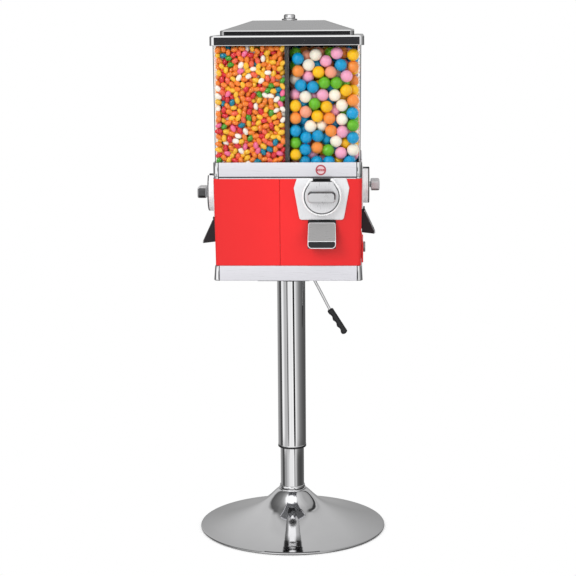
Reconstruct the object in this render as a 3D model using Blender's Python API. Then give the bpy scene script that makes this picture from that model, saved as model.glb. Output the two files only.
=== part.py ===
"""Four-sided bulk vendor on a height-adjustable swivel stand.

Run with: blender --background --python part.py
World frame: metres, +Z up, Z axis through the column, floor at z = 0, front face towards -Y.
The head has the same face four times, turned about Z; the right face (+X) also has a cash door.
All dimensions below are in millimetres. Lathe profiles are (radius, height) pairs.
"""
import math
from typing import NamedTuple

import bmesh
import bpy
from mathutils import Matrix, Vector
from mathutils.geometry import tessellate_polygon

MM = 0.001
ROUND_SEG = 32            # segments of a round part, unless it gives its own

# ---------------------------------------------------------------- dimensions shared by sections
CORNER_R = 9.0            # rounded vertical corners of the head
MID_HALF = 150.0          # half width of the head at the mid frame
LEVER_PIVOT_X, LEVER_PIVOT_Z = 22.0, 563.8
MECH_X, MECH_Z = 69.5, 745.0          # axis of the coin mechanism on the front face
WHEEL_Y = 72.0            # distance of the vend wheel's axis from the Z axis, across the face
POCKET_AT = 27.0          # pocket circle radius on the wheel
GEAR_Y = (119.0, 125.0)   # distance of the drive gear's two sides from the Z axis

# ---------------------------------------------------------------- scene set-up
for old in list(bpy.data.objects):
    bpy.data.objects.remove(old, do_unlink=True)
for old in list(bpy.data.meshes):
    bpy.data.meshes.remove(old)
for old in list(bpy.data.materials):
    bpy.data.materials.remove(old)

SCENE = bpy.context.scene
ROOT = bpy.data.objects.new("vendor_root", None)
SCENE.collection.objects.link(ROOT)


# ---------------------------------------------------------------- materials
class Look(NamedTuple):
    """Surface settings; a glass_ior makes the material fully transmissive."""
    colour: tuple
    roughness: float
    metallic: float = 0.0
    glass_ior: float = None


CHROME = Look(colour=(0.86, 0.86, 0.88), roughness=0.12, metallic=1.0)
SATIN = Look(colour=(0.80, 0.80, 0.82), roughness=0.28, metallic=1.0)
BRUSHED = Look(colour=(0.42, 0.42, 0.43), roughness=0.38, metallic=1.0)
ZINC = Look(colour=(0.55, 0.56, 0.58), roughness=0.45, metallic=1.0)
RED = Look(colour=(0.83, 0.035, 0.045), roughness=0.35)
BLACK = Look(colour=(0.012, 0.012, 0.013), roughness=0.45)
RUBBER = Look(colour=(0.018, 0.018, 0.018), roughness=0.80)
CLEAR = Look(colour=(0.93, 0.95, 0.96), roughness=0.05, glass_ior=1.58)
SMOKE = Look(colour=(0.060, 0.058, 0.055), roughness=0.35)
WHITE = Look(colour=(0.80, 0.80, 0.78), roughness=0.40)
BADGE = Look(colour=(0.55, 0.10, 0.13), roughness=0.40)


def make_material(name, look):
    material = bpy.data.materials.new(name)
    material.use_nodes = True
    inputs = material.node_tree.nodes["Principled BSDF"].inputs
    inputs["Base Color"].default_value = (*look.colour, 1.0)
    inputs["Roughness"].default_value = look.roughness
    inputs["Metallic"].default_value = look.metallic
    if look.glass_ior is not None:
        inputs["Transmission Weight"].default_value = 1.0
        inputs["IOR"].default_value = look.glass_ior
    material.diffuse_color = (*look.colour, 1.0)
    return material


# ---------------------------------------------------------------- objects and booleans
def add(name, mesh, look, origin=(0.0, 0.0, 0.0), turn=0):
    """Object from a copy of a mesh drawn in front-face position, turned by quarter turns about Z.

    The origin is given in the same frame as the mesh, before the turn.
    """
    rotation = Matrix.Rotation(math.radians(90.0 * turn), 4, "Z")
    origin = Vector(origin) * MM
    mesh = mesh.copy()
    mesh.name = name
    mesh.transform(rotation @ Matrix.Translation(-origin))
    mesh.materials.clear()
    mesh.materials.append(make_material(name, look))
    obj = bpy.data.objects.new(name, mesh)
    obj.location = rotation @ origin
    SCENE.collection.objects.link(obj)
    obj.parent = ROOT


def close_surface(bm, mesh):
    """Triangulate, point the normals out and write to the mesh."""
    bmesh.ops.triangulate(bm, faces=bm.faces[:])
    bmesh.ops.recalc_face_normals(bm, faces=bm.faces[:])
    bm.to_mesh(mesh)
    bm.free()
    return mesh


def make_mesh(verts, faces):
    """Closed mesh from millimetre vertices."""
    bm = bmesh.new()
    bm_verts = [bm.verts.new(Vector(v) * MM) for v in verts]
    for face in faces:
        bm.faces.new([bm_verts[i] for i in face])
    return close_surface(bm, bpy.data.meshes.new("part"))


def combine(base, *steps):
    """Exact booleans (operation, mesh) on a base mesh, in order; returns a new mesh."""
    obj = bpy.data.objects.new("tmp_base", base)
    SCENE.collection.objects.link(obj)
    tools = []
    for operation, mesh in steps:
        tool = bpy.data.objects.new("tmp_tool", mesh)
        tool.hide_render = True
        SCENE.collection.objects.link(tool)
        modifier = obj.modifiers.new("cut", "BOOLEAN")
        modifier.operation = operation
        modifier.solver = "EXACT"
        modifier.object = tool
        tools.append(tool)
    bpy.context.view_layer.update()
    graph = bpy.context.evaluated_depsgraph_get()
    result = bpy.data.meshes.new_from_object(obj.evaluated_get(graph))
    for helper in [obj] + tools:
        bpy.data.objects.remove(helper, do_unlink=True)
    bm = bmesh.new()
    bm.from_mesh(result)
    bmesh.ops.remove_doubles(bm, verts=bm.verts[:], dist=2e-6)
    return close_surface(bm, result)


# ---------------------------------------------------------------- frames
# Placing matrices for a flat outline (x, y) with extrusion height z.
FACE = Matrix(((1, 0, 0, 0), (0, 0, -1, 0), (0, 1, 0, 0), (0, 0, 0, 1)))     # XZ, out along -Y
ACROSS_X = Matrix(((0, 0, 1, 0), (1, 0, 0, 0), (0, 1, 0, 0), (0, 0, 0, 1)))  # YZ, along +X
ACROSS_Y = Matrix(((1, 0, 0, 0), (0, 0, 1, 0), (0, 1, 0, 0), (0, 0, 0, 1)))  # XZ, along +Y


def along(origin, direction, up=(0.0, 1.0, 0.0)):
    """Matrix whose Z runs along direction."""
    z = Vector(direction).normalized()
    x = Vector(up).cross(z).normalized()
    y = z.cross(x)
    frame = Matrix((x, y, z)).transposed().to_4x4()
    frame.translation = Vector(origin)
    return frame


# ---------------------------------------------------------------- outlines and rings
def circle(cx, cy, radius, count):
    angles = [2 * math.pi * i / count for i in range(count)]
    return [(cx + radius * math.cos(a), cy + radius * math.sin(a)) for a in angles]


def quarter_turned(points, turn):
    """Plan points turned by quarter turns about the Z axis."""
    cosine, sine = ((1, 0), (0, 1), (-1, 0), (0, -1))[turn]
    return [(cosine * x - sine * y, sine * x + cosine * y) for x, y in points]


def rounded(corners, steps):
    """Outline from (x, y, radius) corners, each arc in the given number of steps."""
    outline = []
    for i, (x, y, radius) in enumerate(corners):
        if radius <= 0:
            outline.append((x, y))
            continue
        corner = Vector((x, y))
        to_last = (Vector(corners[i - 1][:2]) - corner).normalized()
        to_next = (Vector(corners[(i + 1) % len(corners)][:2]) - corner).normalized()
        half_angle = math.acos(max(-1.0, min(1.0, to_last.dot(to_next)))) / 2
        cut = radius / math.tan(half_angle)
        centre = corner + (to_last + to_next).normalized() * (radius / math.sin(half_angle))
        start = corner + to_last * cut - centre
        end = corner + to_next * cut - centre
        first = math.atan2(start.y, start.x)
        swept = math.atan2(start.x * end.y - start.y * end.x, start.dot(end))
        for k in range(steps + 1):
            angle = first + swept * k / steps
            outline.append((centre.x + radius * math.cos(angle),
                            centre.y + radius * math.sin(angle)))
    return outline


def square_ring(half, radius, z, per_corner=4):
    """Rounded square about the Z axis, counter-clockwise."""
    ring = []
    for k, (sx, sy) in enumerate([(1, 1), (-1, 1), (-1, -1), (1, -1)]):
        for i in range(per_corner):
            angle = math.radians(90 * k + 90 * i / (per_corner - 1))
            ring.append(Vector((sx * (half - radius) + radius * math.cos(angle),
                                sy * (half - radius) + radius * math.sin(angle), z)))
    return ring


def round_ring(radius, z, per_corner=4):
    """Circle with the same point count and order as square_ring."""
    ring = []
    for k in range(4):
        for i in range(per_corner):
            angle = math.radians((k + (i + 0.5) / per_corner) * 90.0)
            ring.append(Vector((radius * math.cos(angle), radius * math.sin(angle), z)))
    return ring


# ---------------------------------------------------------------- solids
def lathe(profile, seg=ROUND_SEG, centre=(0.0, 0.0), closed=False, frame=None):
    """Body of revolution about Z, or about frame's Z.

    A profile that isn't closed starts and ends on the axis.
    """
    verts, faces, rings = [], [], []
    for radius, z in profile:
        if radius == 0:
            rings.append([len(verts)])
            verts.append(Vector((*centre, z)))
        else:
            rings.append(list(range(len(verts), len(verts) + seg)))
            verts += [Vector((x, y, z)) for x, y in circle(*centre, radius, seg)]
    pairs = list(zip(rings, rings[1:]))
    if closed:
        pairs.append((rings[-1], rings[0]))
    for low, high in pairs:
        for i in range(seg):
            j = (i + 1) % seg
            if len(low) == 1:
                faces.append((low[0], high[i], high[j]))
            elif len(high) == 1:
                faces.append((low[i], low[j], high[0]))
            else:
                faces.append((low[i], low[j], high[j], high[i]))
    if frame is not None:
        verts = [frame @ v for v in verts]
    return make_mesh(verts, faces)


def cylinder(radius, low, high, seg, top_radius=None, **place):
    """Solid cylinder, or a slight cone when a top radius is given."""
    profile = [(0, low), (radius, low), (top_radius or radius, high), (0, high)]
    return lathe(profile, seg, **place)


def loft(rings, closed=False):
    """Skin through rings of equal count; closed joins last to first, otherwise ends are capped."""
    count = len(rings[0])
    verts = [p for ring in rings for p in ring]
    faces = []
    pairs = list(zip(range(len(rings)), range(1, len(rings))))
    if closed:
        pairs.append((len(rings) - 1, 0))
    for a, b in pairs:
        for i in range(count):
            j = (i + 1) % count
            faces.append((a * count + i, a * count + j, b * count + j, b * count + i))
    if not closed:
        for k in (0, len(rings) - 1):
            for triangle in tessellate_polygon([rings[k]]):
                faces.append(tuple(k * count + i for i in triangle))
    return make_mesh(verts, faces)


def extrude(outer, holes, low, high, place=None, outer_high=None):
    """Prism over an outline with holes; outer_high gives a different outline on top."""
    loops_low = [outer] + holes
    loops_high = [outer_high or outer] + holes
    flat = [[Vector((x, y, 0.0)) for x, y in loop] for loop in loops_low]
    caps = tessellate_polygon(flat)
    total = sum(len(loop) for loop in loops_low)
    verts = [Vector((x, y, low)) for loop in loops_low for x, y in loop]
    verts += [Vector((x, y, high)) for loop in loops_high for x, y in loop]
    faces = [tuple(t) for t in caps] + [tuple(i + total for i in t) for t in caps]
    start = 0
    for loop in loops_low:
        count = len(loop)
        for i in range(count):
            a, b = start + i, start + (i + 1) % count
            faces.append((a, b, b + total, a + total))
        start += count
    if place is not None:
        verts = [place @ v for v in verts]
    return make_mesh(verts, faces)


def box(x0, x1, y0, y1, z0, z1):
    return extrude([(x0, y0), (x1, y0), (x1, y1), (x0, y1)], [], z0, z1)


def sweep(path, radius, seg):
    """Round bar along a path in the XZ plane, widened at the bends to keep its thickness."""
    rings = []
    side = Vector((0.0, 1.0, 0.0))
    for i, point in enumerate(path):
        before = path[max(i - 1, 0)]
        after = path[min(i + 1, len(path) - 1)]
        tangent = (after - before).normalized()
        widen = 1.0
        if i:
            widen = 1.0 / max(0.5, (point - before).normalized().dot(tangent))
        up = tangent.cross(side).normalized()
        ring = []
        for k in range(seg):
            angle = 2 * math.pi * k / seg
            ring.append(point + side * (radius * math.cos(angle))
                        + up * (radius * widen * math.sin(angle)))
        rings.append(ring)
    return loft(rings)


# ---------------------------------------------------------------- stand
DISC_R = 201.5            # outer radius of the round foot
DISC_SKIN = 2.2           # sheet thickness at the foot's rim
DISC_SEG = 40
RING_R_OUT, RING_R_IN, RING_H = 196.2, 186.0, 3.2
NECK_BORE_R = 25.8        # bore of the foot and its collar
COLLAR_STEP_R, COLLAR_TOP_R = 29.7, 27.25
COLLAR_Z = (80.0, 88.0, 94.0)         # bottom, step, top
TUBE_R, TUBE_WALL = 25.5, 2.0         # fixed inner column tube
TUBE_Z = (20, 24, 439.6)              # bottom, top of the closed end, top
SLEEVE_R, SLEEVE_WALL = 30.2, 1.5
SLEEVE_BOTTOM, SLEEVE_TOP = 183.2, 548.6
SLEEVE_LIP_R = 31.0
CYL_R, CYL_BORE_R = 14.0, 12.6        # gas spring cylinder
CYL_BOTTOM, CYL_TOP = 250.0, 556.0
ROD_R = 5.0

FOOT_TOP = [(COLLAR_STEP_R, 79.6), (34.5, 75.0), (46.0, 64.2), (62.0, 52.0), (86.0, 38.6),
            (122.0, 25.2), (170.0, 11.6), (198.0, 4.8), (DISC_R, 3.2), (DISC_R, 1.2)]
FOOT_UNDER = [(DISC_R - DISC_SKIN, 1.2), (197.0, 3.6), (169.0, 9.2), (121.0, 22.8), (84.6, 36.2),
              (60.4, 49.6), (44.4, 61.6), (32.0, 73.4), (NECK_BORE_R, 76.0), (NECK_BORE_R, 79.6)]
GUIDE_BUSH = [(14.4, 400), (23.2, 400), (23.2, 439.9), (25.3, 439.9), (25.3, 443), (14.4, 443)]
THRUST_BEARING = [(5.6, 24.4), (13, 24.4), (13, 30), (5.6, 30)]
# a rod with a flange near the bottom and a piston head on top
PISTON_ROD = [(0, 25), (ROD_R, 25), (ROD_R, 30.4), (9, 30.4), (9, 34), (ROD_R, 34),
              (ROD_R, 446), (12.2, 446), (12.2, 456), (0, 456)]
END_RING = [(26.1, 180.3), (30.6, 180.3), (30.6, 182.8), (28.3, 182.8), (28.3, 196), (26.1, 196)]


def build_foot():
    add("base_disc", lathe(FOOT_TOP + FOOT_UNDER, DISC_SEG, closed=True), CHROME)
    ring = [(RING_R_OUT, 0.0), (RING_R_OUT, RING_H), (RING_R_IN, RING_H), (RING_R_IN, 0.0)]
    add("floor_ring", lathe(ring, DISC_SEG, closed=True), RUBBER)


def build_neck_collar():
    bottom, step, top = COLLAR_Z
    profile = [(COLLAR_STEP_R, bottom), (COLLAR_STEP_R, step), (COLLAR_TOP_R, step),
               (COLLAR_TOP_R, top), (NECK_BORE_R, top), (NECK_BORE_R, bottom)]
    add("neck_collar", lathe(profile, closed=True), CHROME)


def build_inner_tube():
    """Tube closed at the bottom, with the bush in its mouth and the bearing on its floor."""
    bottom, end_top, top = TUBE_Z
    bore = TUBE_R - TUBE_WALL
    profile = [(0, bottom), (TUBE_R, bottom), (TUBE_R, top), (bore, top), (bore, end_top),
               (0, end_top)]
    add("inner_tube", lathe(profile), CHROME)
    add("guide_bush", lathe(GUIDE_BUSH, 20, closed=True), BLACK)
    add("thrust_bearing", lathe(THRUST_BEARING, 16, closed=True), ZINC)


def build_gas_spring():
    add("piston_rod", lathe(PISTON_ROD, 16), CHROME)
    rod_hole = ROD_R + 0.4
    profile = [(0, CYL_TOP - 15), (CYL_BORE_R, CYL_TOP - 15), (CYL_BORE_R, CYL_BOTTOM + 4),
               (rod_hole, CYL_BOTTOM + 4), (rod_hole, CYL_BOTTOM), (CYL_R, CYL_BOTTOM),
               (CYL_R, CYL_TOP), (4.4, CYL_TOP), (4.4, CYL_TOP - 6), (0, CYL_TOP - 6)]
    add("gas_cylinder", lathe(profile, 20), BLACK)


def build_outer_sleeve():
    bore = SLEEVE_R - SLEEVE_WALL
    profile = [(SLEEVE_LIP_R, SLEEVE_BOTTOM), (SLEEVE_LIP_R, SLEEVE_BOTTOM + 3.4),
               (SLEEVE_R, SLEEVE_BOTTOM + 4.4), (SLEEVE_R, SLEEVE_TOP), (bore, SLEEVE_TOP),
               (bore, SLEEVE_BOTTOM)]
    add("outer_sleeve", lathe(profile, closed=True), CHROME)
    add("sleeve_end_ring", lathe(END_RING, 24, closed=True), BLACK)


# ---------------------------------------------------------------- mounting plate
# hat channel section, (y, z)
HAT = [(-60, 566.8), (-33.0, 566.8), (-31.0, 549.2), (31.0, 549.2), (33.0, 566.8), (60, 566.8),
       (60, 569.6), (30.4, 569.6), (28.4, 552.0), (-28.4, 552.0), (-30.4, 569.6), (-60, 569.6)]
HAT_X = (-70, 40)
EAR_HALF, EAR_Z = 6, (550.0, 568.0)   # ears that hold the lever's pivot pin
EAR_Y = (9.0, 12.5)
PIN_R, PIN_HALF = 2.0, 12.0
HUB_R, HUB_Z = 24, (532, 550.5)
HUB_BORE_R, HUB_BORE_Z = 14.6, (525, 555)
PIVOT_POINT = (LEVER_PIVOT_X, 0, LEVER_PIVOT_Z)
PIVOT_AXIS = along(PIVOT_POINT, (0, 1, 0), (1, 0, 0))


def build_mount_plate():
    """Hat channel with a hub round the top of the gas spring, and two ears with a pin."""
    near, far = EAR_Y
    ears = [box(LEVER_PIVOT_X - EAR_HALF, LEVER_PIVOT_X + EAR_HALF, y0, y1, *EAR_Z)
            for y0, y1 in ((-far, -near), (near, far))]
    pin = cylinder(PIN_R, -PIN_HALF, PIN_HALF, 8, frame=PIVOT_AXIS)
    plate = combine(extrude(HAT, [], *HAT_X, ACROSS_X),
                    ("UNION", cylinder(HUB_R, *HUB_Z, 20)),
                    ("UNION", ears[0]), ("UNION", ears[1]), ("UNION", pin),
                    ("DIFFERENCE", cylinder(HUB_BORE_R, *HUB_BORE_Z, 20)))
    add("mount_plate", plate, BLACK)


# ---------------------------------------------------------------- lift lever and valve button
LEVER_ROD_R = 3.0
GRIP_START = Vector((82.5, 0, 483.0))
GRIP_END = Vector((116.0, 0, 430.0))
GRIP_AXIS = (GRIP_END - GRIP_START).normalized()
GRIP_R = 7.0
GRIP_SEG = 12
ROD_IN_GRIP = 38          # how far the rod runs into the grip
# centre line of the rod down to the grip, (x, z)
LEVER_BEND = [(-2, LEVER_PIVOT_Z), (31.5, LEVER_PIVOT_Z), (36.5, LEVER_PIVOT_Z - 0.7),
              (40.6, LEVER_PIVOT_Z - 3.2), (44.2, LEVER_PIVOT_Z - 7.0), (52, 542.2),
              (GRIP_START.x - 3, 488.5), (GRIP_START.x + 1.5, 480.6)]
# (fraction of the grip's length, radius, depth of the finger notch)
GRIP_STATIONS = [
    (0.0, 4.6, 0), (0.04, 6.8, 0), (0.10, GRIP_R, 0), (0.20, GRIP_R, 2.2), (0.31, GRIP_R, 0.2),
    (0.41, GRIP_R, 2.2), (0.52, GRIP_R, 0.2), (0.62, GRIP_R, 2.2), (0.73, GRIP_R, 0.2),
    (0.83, GRIP_R, 1.6), (0.94, 6.7, 0), (1.0, 4.2, 0)]
BUTTON_R, BUTTON_Z = 3.9, (553.6, 560.4)


def build_lever_rod():
    """Bent rod with a cross boss that turns on the mounting plate's pin."""
    path = [Vector((x, 0, z)) for x, z in LEVER_BEND] + [GRIP_START + GRIP_AXIS * ROD_IN_GRIP]
    boss = cylinder(5.2, -8.4, 8.4, 12, frame=PIVOT_AXIS)
    eye = cylinder(2.4, -12, 12, 10, top_radius=2.5, frame=PIVOT_AXIS)
    rod = combine(sweep(path, LEVER_ROD_R, 8), ("UNION", boss), ("DIFFERENCE", eye))
    add("lever_rod", rod, CHROME, origin=PIVOT_POINT)


def build_lever_grip():
    """Round grip, notched on its lower side."""
    side = Vector((0, 1, 0))
    notch_side = side.cross(GRIP_AXIS).normalized()
    length = (GRIP_END - GRIP_START).length
    rings = []
    for fraction, radius, notch in GRIP_STATIONS:
        centre = GRIP_START + GRIP_AXIS * (length * fraction)
        ring = []
        for k in range(GRIP_SEG):
            angle = 2 * math.pi * k / GRIP_SEG
            reach = radius - notch * max(0.0, math.cos(angle))
            ring.append(centre + (notch_side * math.cos(angle) + side * math.sin(angle)) * reach)
        rings.append(ring)
    bore = cylinder(LEVER_ROD_R + 0.4, -4, ROD_IN_GRIP + 1, 8, top_radius=LEVER_ROD_R + 0.5,
                    frame=along(GRIP_START, GRIP_AXIS))
    grip = combine(loft(rings), ("DIFFERENCE", bore))
    add("lever_grip", grip, BLACK, origin=PIVOT_POINT)


def build_valve_button():
    add("valve_button", cylinder(BUTTON_R, *BUTTON_Z, 16), ZINC, origin=(0, 0, BUTTON_Z[1]))


# ---------------------------------------------------------------- frames of the head
BAND_LOW_Z = (570.4, 601.0)
MID_Z = (780.9, 812.4)
TOP_Z = (1046.5, 1065.6)
TOP_HALF = 153.6
# (half width, corner radius, z)
FLOOR_PAN = [(140.0, 4, 570.2), (140.0, 4, 572.8), (147.0, 8, 572.8), (147.0, 8, 575.0)]


def band(profile):
    """Square frame from a closed (half width, z) profile; inner corners get tighter radii."""
    rings = []
    for half, z in profile:
        radius = max(1.5, CORNER_R - (MID_HALF - half)) if half < MID_HALF else CORNER_R
        rings.append(square_ring(half, radius, z))
    return loft(rings, closed=True)


def build_bottom_frame():
    z0, z1 = BAND_LOW_Z
    profile = [(150.8, z0), (151.4, z0 + 0.8), (151.3, z0 + 3.0), (148.9, z1 - 0.7), (148.4, z1),
               (146.9, z1), (149.3, z0 + 5.0), (149.3, z0 + 2.0), (140.4, z0 + 2.0), (140.4, z0)]
    add("bottom_frame", band(profile), SATIN)
    add("floor_pan", loft([square_ring(*station) for station in FLOOR_PAN]), ZINC)


def build_mid_frame():
    z0, z1 = MID_Z
    profile = [(150.8, z0), (150.8, z0 + 2.0), (149.2, z0 + 2.6), (149.2, z0 + 4.9),
               (MID_HALF, z0 + 5.5), (MID_HALF, z1 - 1.2), (149.2, z1), (147.4, z1),
               (146.6, z1 - 0.8), (146.6, 784.4), (138.0, 784.4), (138.0, 782.6),
               (147.2, 782.6), (147.2, z0)]
    add("mid_frame", band(profile), SATIN)


def build_top_frame():
    z0, z1 = TOP_Z
    profile = [(153.0, z0), (TOP_HALF, z0 + 0.6), (TOP_HALF, z1 - 1.4), (TOP_HALF - 1.4, z1),
               (129.6, z1), (129.6, z1 - 2.0), (148.7, z1 - 5.0), (149.2, z0)]
    add("top_frame", band(profile), CHROME)


# ---------------------------------------------------------------- wrapped panels
FACES = ["front", "right", "back", "left"]
PANEL_Z = (601.5, 780.3)
PANEL_HALF = (148.7, 151.0)           # half width at the bottom and the top
PANEL_WALL = 2.0
SEAM_X = -16.0            # seam between two wrapped panels, on every face
SEAM_GAP = 0.6
MECH_HOLE_HALF, MECH_HOLE_Z = 26, (650, 776)
DOOR_HOLE_Y, DOOR_HOLE_Z = (-118, -42), (610, 650)


def wrapped_panel():
    """Sheet that wraps the corner between the front and right faces, seam to seam."""
    loops = []
    seam_front, seam_right = SEAM_X + SEAM_GAP / 2, SEAM_X - SEAM_GAP / 2
    for half in PANEL_HALF:
        sides = []
        for inset in (0.0, PANEL_WALL):
            side = [(seam_front, -(half - inset))]
            for i in range(7):
                angle = math.radians(-90 + 15 * i)
                radius = CORNER_R - inset
                side.append((half - CORNER_R + radius * math.cos(angle),
                             -(half - CORNER_R) + radius * math.sin(angle)))
            side.append((half - inset, seam_right))
            sides.append(side)
        loops.append(sides[0] + sides[1][::-1])
    return extrude(loops[0], [], *PANEL_Z, outer_high=loops[1])


def build_panels():
    """The front panel also covers the right face beside the corner, so it has the door hole."""
    mech_hole = box(MECH_X - MECH_HOLE_HALF, MECH_X + MECH_HOLE_HALF, -160, -130, *MECH_HOLE_Z)
    door_hole = box(130, 160, *DOOR_HOLE_Y, *DOOR_HOLE_Z)
    plain = combine(wrapped_panel(), ("DIFFERENCE", mech_hole))
    with_door = combine(wrapped_panel(), ("DIFFERENCE", mech_hole), ("DIFFERENCE", door_hole))
    for turn, face in enumerate(FACES):
        add("panel_" + face, plain if turn else with_door, RED, turn=turn)


# ---------------------------------------------------------------- hopper
FLOOR_Z = (784.8, 786.8)
FLOOR_HALF, FLOOR_CORNER_R = 146.0, 6.5
OUTLET_R = 13.7
GEAR_SLOT_HALF, GEAR_SLOT_GAP = 33.5, 2.2
AXLE_R, AXLE_TOP = 5, 801
GLOBE_Z = (787.2, 1058.0)
GLOBE_HALF = (145.2, 147.5)           # half width at the bottom and the top
GLOBE_WALL = 3.0
DIVIDER_Z = (788.0, 1056.0)
DIVIDER_REACH = (141.4, 143.6)        # arm length at the bottom and the top
TIE_ROD = [(0, 575.4), (4, 575.4), (4, 1064), (3, 1065), (0, 1065)]


def build_hopper_floor():
    """Plate with an outlet, a gear slot and a wheel axle for each face."""
    slot_near, slot_far = -(GEAR_Y[0] - GEAR_SLOT_GAP), -(GEAR_Y[1] + GEAR_SLOT_GAP)
    left, right = MECH_X - GEAR_SLOT_HALF, MECH_X + GEAR_SLOT_HALF
    slot = [(left, slot_far), (right, slot_far), (right, slot_near), (left, slot_near)]
    outlet = circle(MECH_X, -WHEEL_Y - POCKET_AT, OUTLET_R, 12)
    holes = [circle(0, 0, 6.0, 8)]
    axles = []
    for turn in range(4):
        holes += [quarter_turned(outlet, turn), quarter_turned(slot, turn)]
        centre = quarter_turned([(MECH_X, -WHEEL_Y)], turn)[0]
        axle = cylinder(AXLE_R, FLOOR_Z[0] + 0.5, AXLE_TOP, 8, centre=centre)
        axles.append(("UNION", axle))
    outline = [(p.x, p.y) for p in square_ring(FLOOR_HALF, FLOOR_CORNER_R, 0)]
    add("hopper_floor", combine(extrude(outline, holes, *FLOOR_Z), *axles), SATIN)


def build_globe():
    z0, z1 = GLOBE_Z
    half_low, half_high = GLOBE_HALF
    bore_r = CORNER_R - GLOBE_WALL
    stations = [(half_low, CORNER_R, z0), (half_high - 0.1, CORNER_R, z1 - 12),
                (half_high, CORNER_R, z1), (half_high - GLOBE_WALL, bore_r, z1),
                (half_low - GLOBE_WALL, bore_r, z0)]
    rings = [square_ring(*station, per_corner=6) for station in stations]
    add("globe", loft(rings, closed=True), CLEAR)


def cross_outline(reach):
    """Plus-shaped section with a bead at the end of each arm and a thicker middle."""
    arm = [(8.0, -1.0), (reach - 2.4, -1.0), (reach - 2.0, -4.5), (reach, -4.5), (reach, 4.5),
           (reach - 2.0, 4.5), (reach - 2.4, 1.0), (8.0, 1.0), (6.4, 6.4)]
    return [point for turn in range(4) for point in quarter_turned(arm, turn)]


def build_divider():
    low, high = [cross_outline(reach) for reach in DIVIDER_REACH]
    divider = extrude(low, [circle(0, 0, 5.2, 8)], *DIVIDER_Z, outer_high=high)
    add("divider", divider, SMOKE)
    add("tie_rod", lathe(TIE_ROD, 12), ZINC)


# ---------------------------------------------------------------- lid with its lock
LID_BOTTOM, LID_EDGE, LID_TOP = 1066.4, 1076.0, 1094.6
LID_HALF, LID_TOP_HALF = 134.0, 74.0
LID_SHEET = 2.0
LID_HOLE_R = 12.3
LID_LIP_HALF, LID_LIP_H = 128.8, 5.4  # lip that drops inside the top frame
LID_LOCK_BACK = 1070.0
LOCK_BORE_R, LOCK_BODY_R = 6.0, 11.8
PLUG_R = 5.6
KEY_SLOT = [(-0.7, -3.4), (0.7, -3.4), (0.7, 3.4), (-0.7, 3.4)]


def build_lid():
    lip_inner = LID_LIP_HALF - LID_SHEET
    lip_bottom = LID_BOTTOM - LID_LIP_H
    rings = [round_ring(LID_HOLE_R, LID_TOP), square_ring(LID_TOP_HALF, 6, LID_TOP),
             square_ring(LID_HALF - 2.2, CORNER_R, LID_EDGE + 0.2),
             square_ring(LID_HALF - 0.6, CORNER_R, LID_EDGE - 0.6),
             square_ring(LID_HALF, CORNER_R, LID_EDGE - 1.6),
             square_ring(LID_HALF, CORNER_R, LID_BOTTOM),
             square_ring(LID_LIP_HALF, 7, LID_BOTTOM), square_ring(LID_LIP_HALF, 7, lip_bottom),
             square_ring(lip_inner, 6, lip_bottom), square_ring(lip_inner, 6, LID_EDGE - 2.6),
             square_ring(LID_TOP_HALF - 2, 5, LID_TOP - LID_SHEET),
             round_ring(LID_HOLE_R, LID_TOP - LID_SHEET)]
    add("lid", loft(rings, closed=True), BRUSHED)


def lock_plug(front, back, cam, place):
    """Key plug along +Z of place, with a key slot at the front and a flat cam at the back."""
    cam_corners = [(-4.5, -4.5, 1), (cam, -4.5, 4), (cam, 4.5, 4), (-4.5, 4.5, 1)]
    return combine(cylinder(PLUG_R, back, front, 16, frame=place),
                   ("UNION", extrude(rounded(cam_corners, 2), [], back - 1.8, back + 0.6, place)),
                   ("DIFFERENCE", extrude(KEY_SLOT, [], front - 2.5, front + 2, place)))


def build_lid_lock():
    profile = [(LOCK_BORE_R, 1072), (LOCK_BODY_R, 1072), (LOCK_BODY_R, LID_TOP + 0.4),
               (16.0, LID_TOP + 0.4), (16.0, LID_TOP + 3.4), (LOCK_BODY_R, LID_TOP + 3.4),
               (LOCK_BODY_R, LID_TOP + 10.6), (9.8, LID_TOP + 12.5), (LOCK_BORE_R, LID_TOP + 12.5)]
    add("lid_lock_body", lathe(profile, 24, closed=True), CHROME)
    add("lid_lock_plug", lock_plug(LID_TOP + 12.4, LID_LOCK_BACK, 15.0, Matrix.Identity(4)), CHROME)


# ---------------------------------------------------------------- cash door, on the right face
DOOR_Y = (-124.0, -34.0)
DOOR_BOTTOM, DOOR_TOP = 604.0, 657.0
DOOR_BACK, DOOR_OUT = 149.9, 153.5    # x of the door's back and front
HINGE_X, HINGE_Y = 151.9, -32.6
HINGE_Z = (DOOR_BOTTOM + 3, DOOR_TOP - 8)
HINGE_R = 1.9
HINGE_POINT = (HINGE_X, HINGE_Y, HINGE_Z[0])
DOOR_LOCK_Y, DOOR_LOCK_Z = -80.0, 630.5
DOOR_LOCK_AXIS = along((0, DOOR_LOCK_Y, DOOR_LOCK_Z), (1, 0, 0), (0, 0, 1))
DOOR_PLUG_BACK, DOOR_PLUG_FRONT = 141.0, 157.8
# door section, (x, z)
DOOR_SECTION = [(DOOR_BACK, DOOR_BOTTOM), (DOOR_OUT - 0.8, DOOR_BOTTOM),
                (DOOR_OUT, DOOR_BOTTOM + 0.8), (DOOR_OUT, DOOR_TOP - 15.0),
                (150.5, DOOR_TOP), (DOOR_BACK, DOOR_TOP)]
# (radius, x)
DOOR_LOCK_BODY = [(6.0, 143), (8.0, 143), (8.0, 153.9), (11.0, 153.9), (11.0, 156.6),
                  (10.0, 158.0), (6.0, 158.0)]


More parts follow.
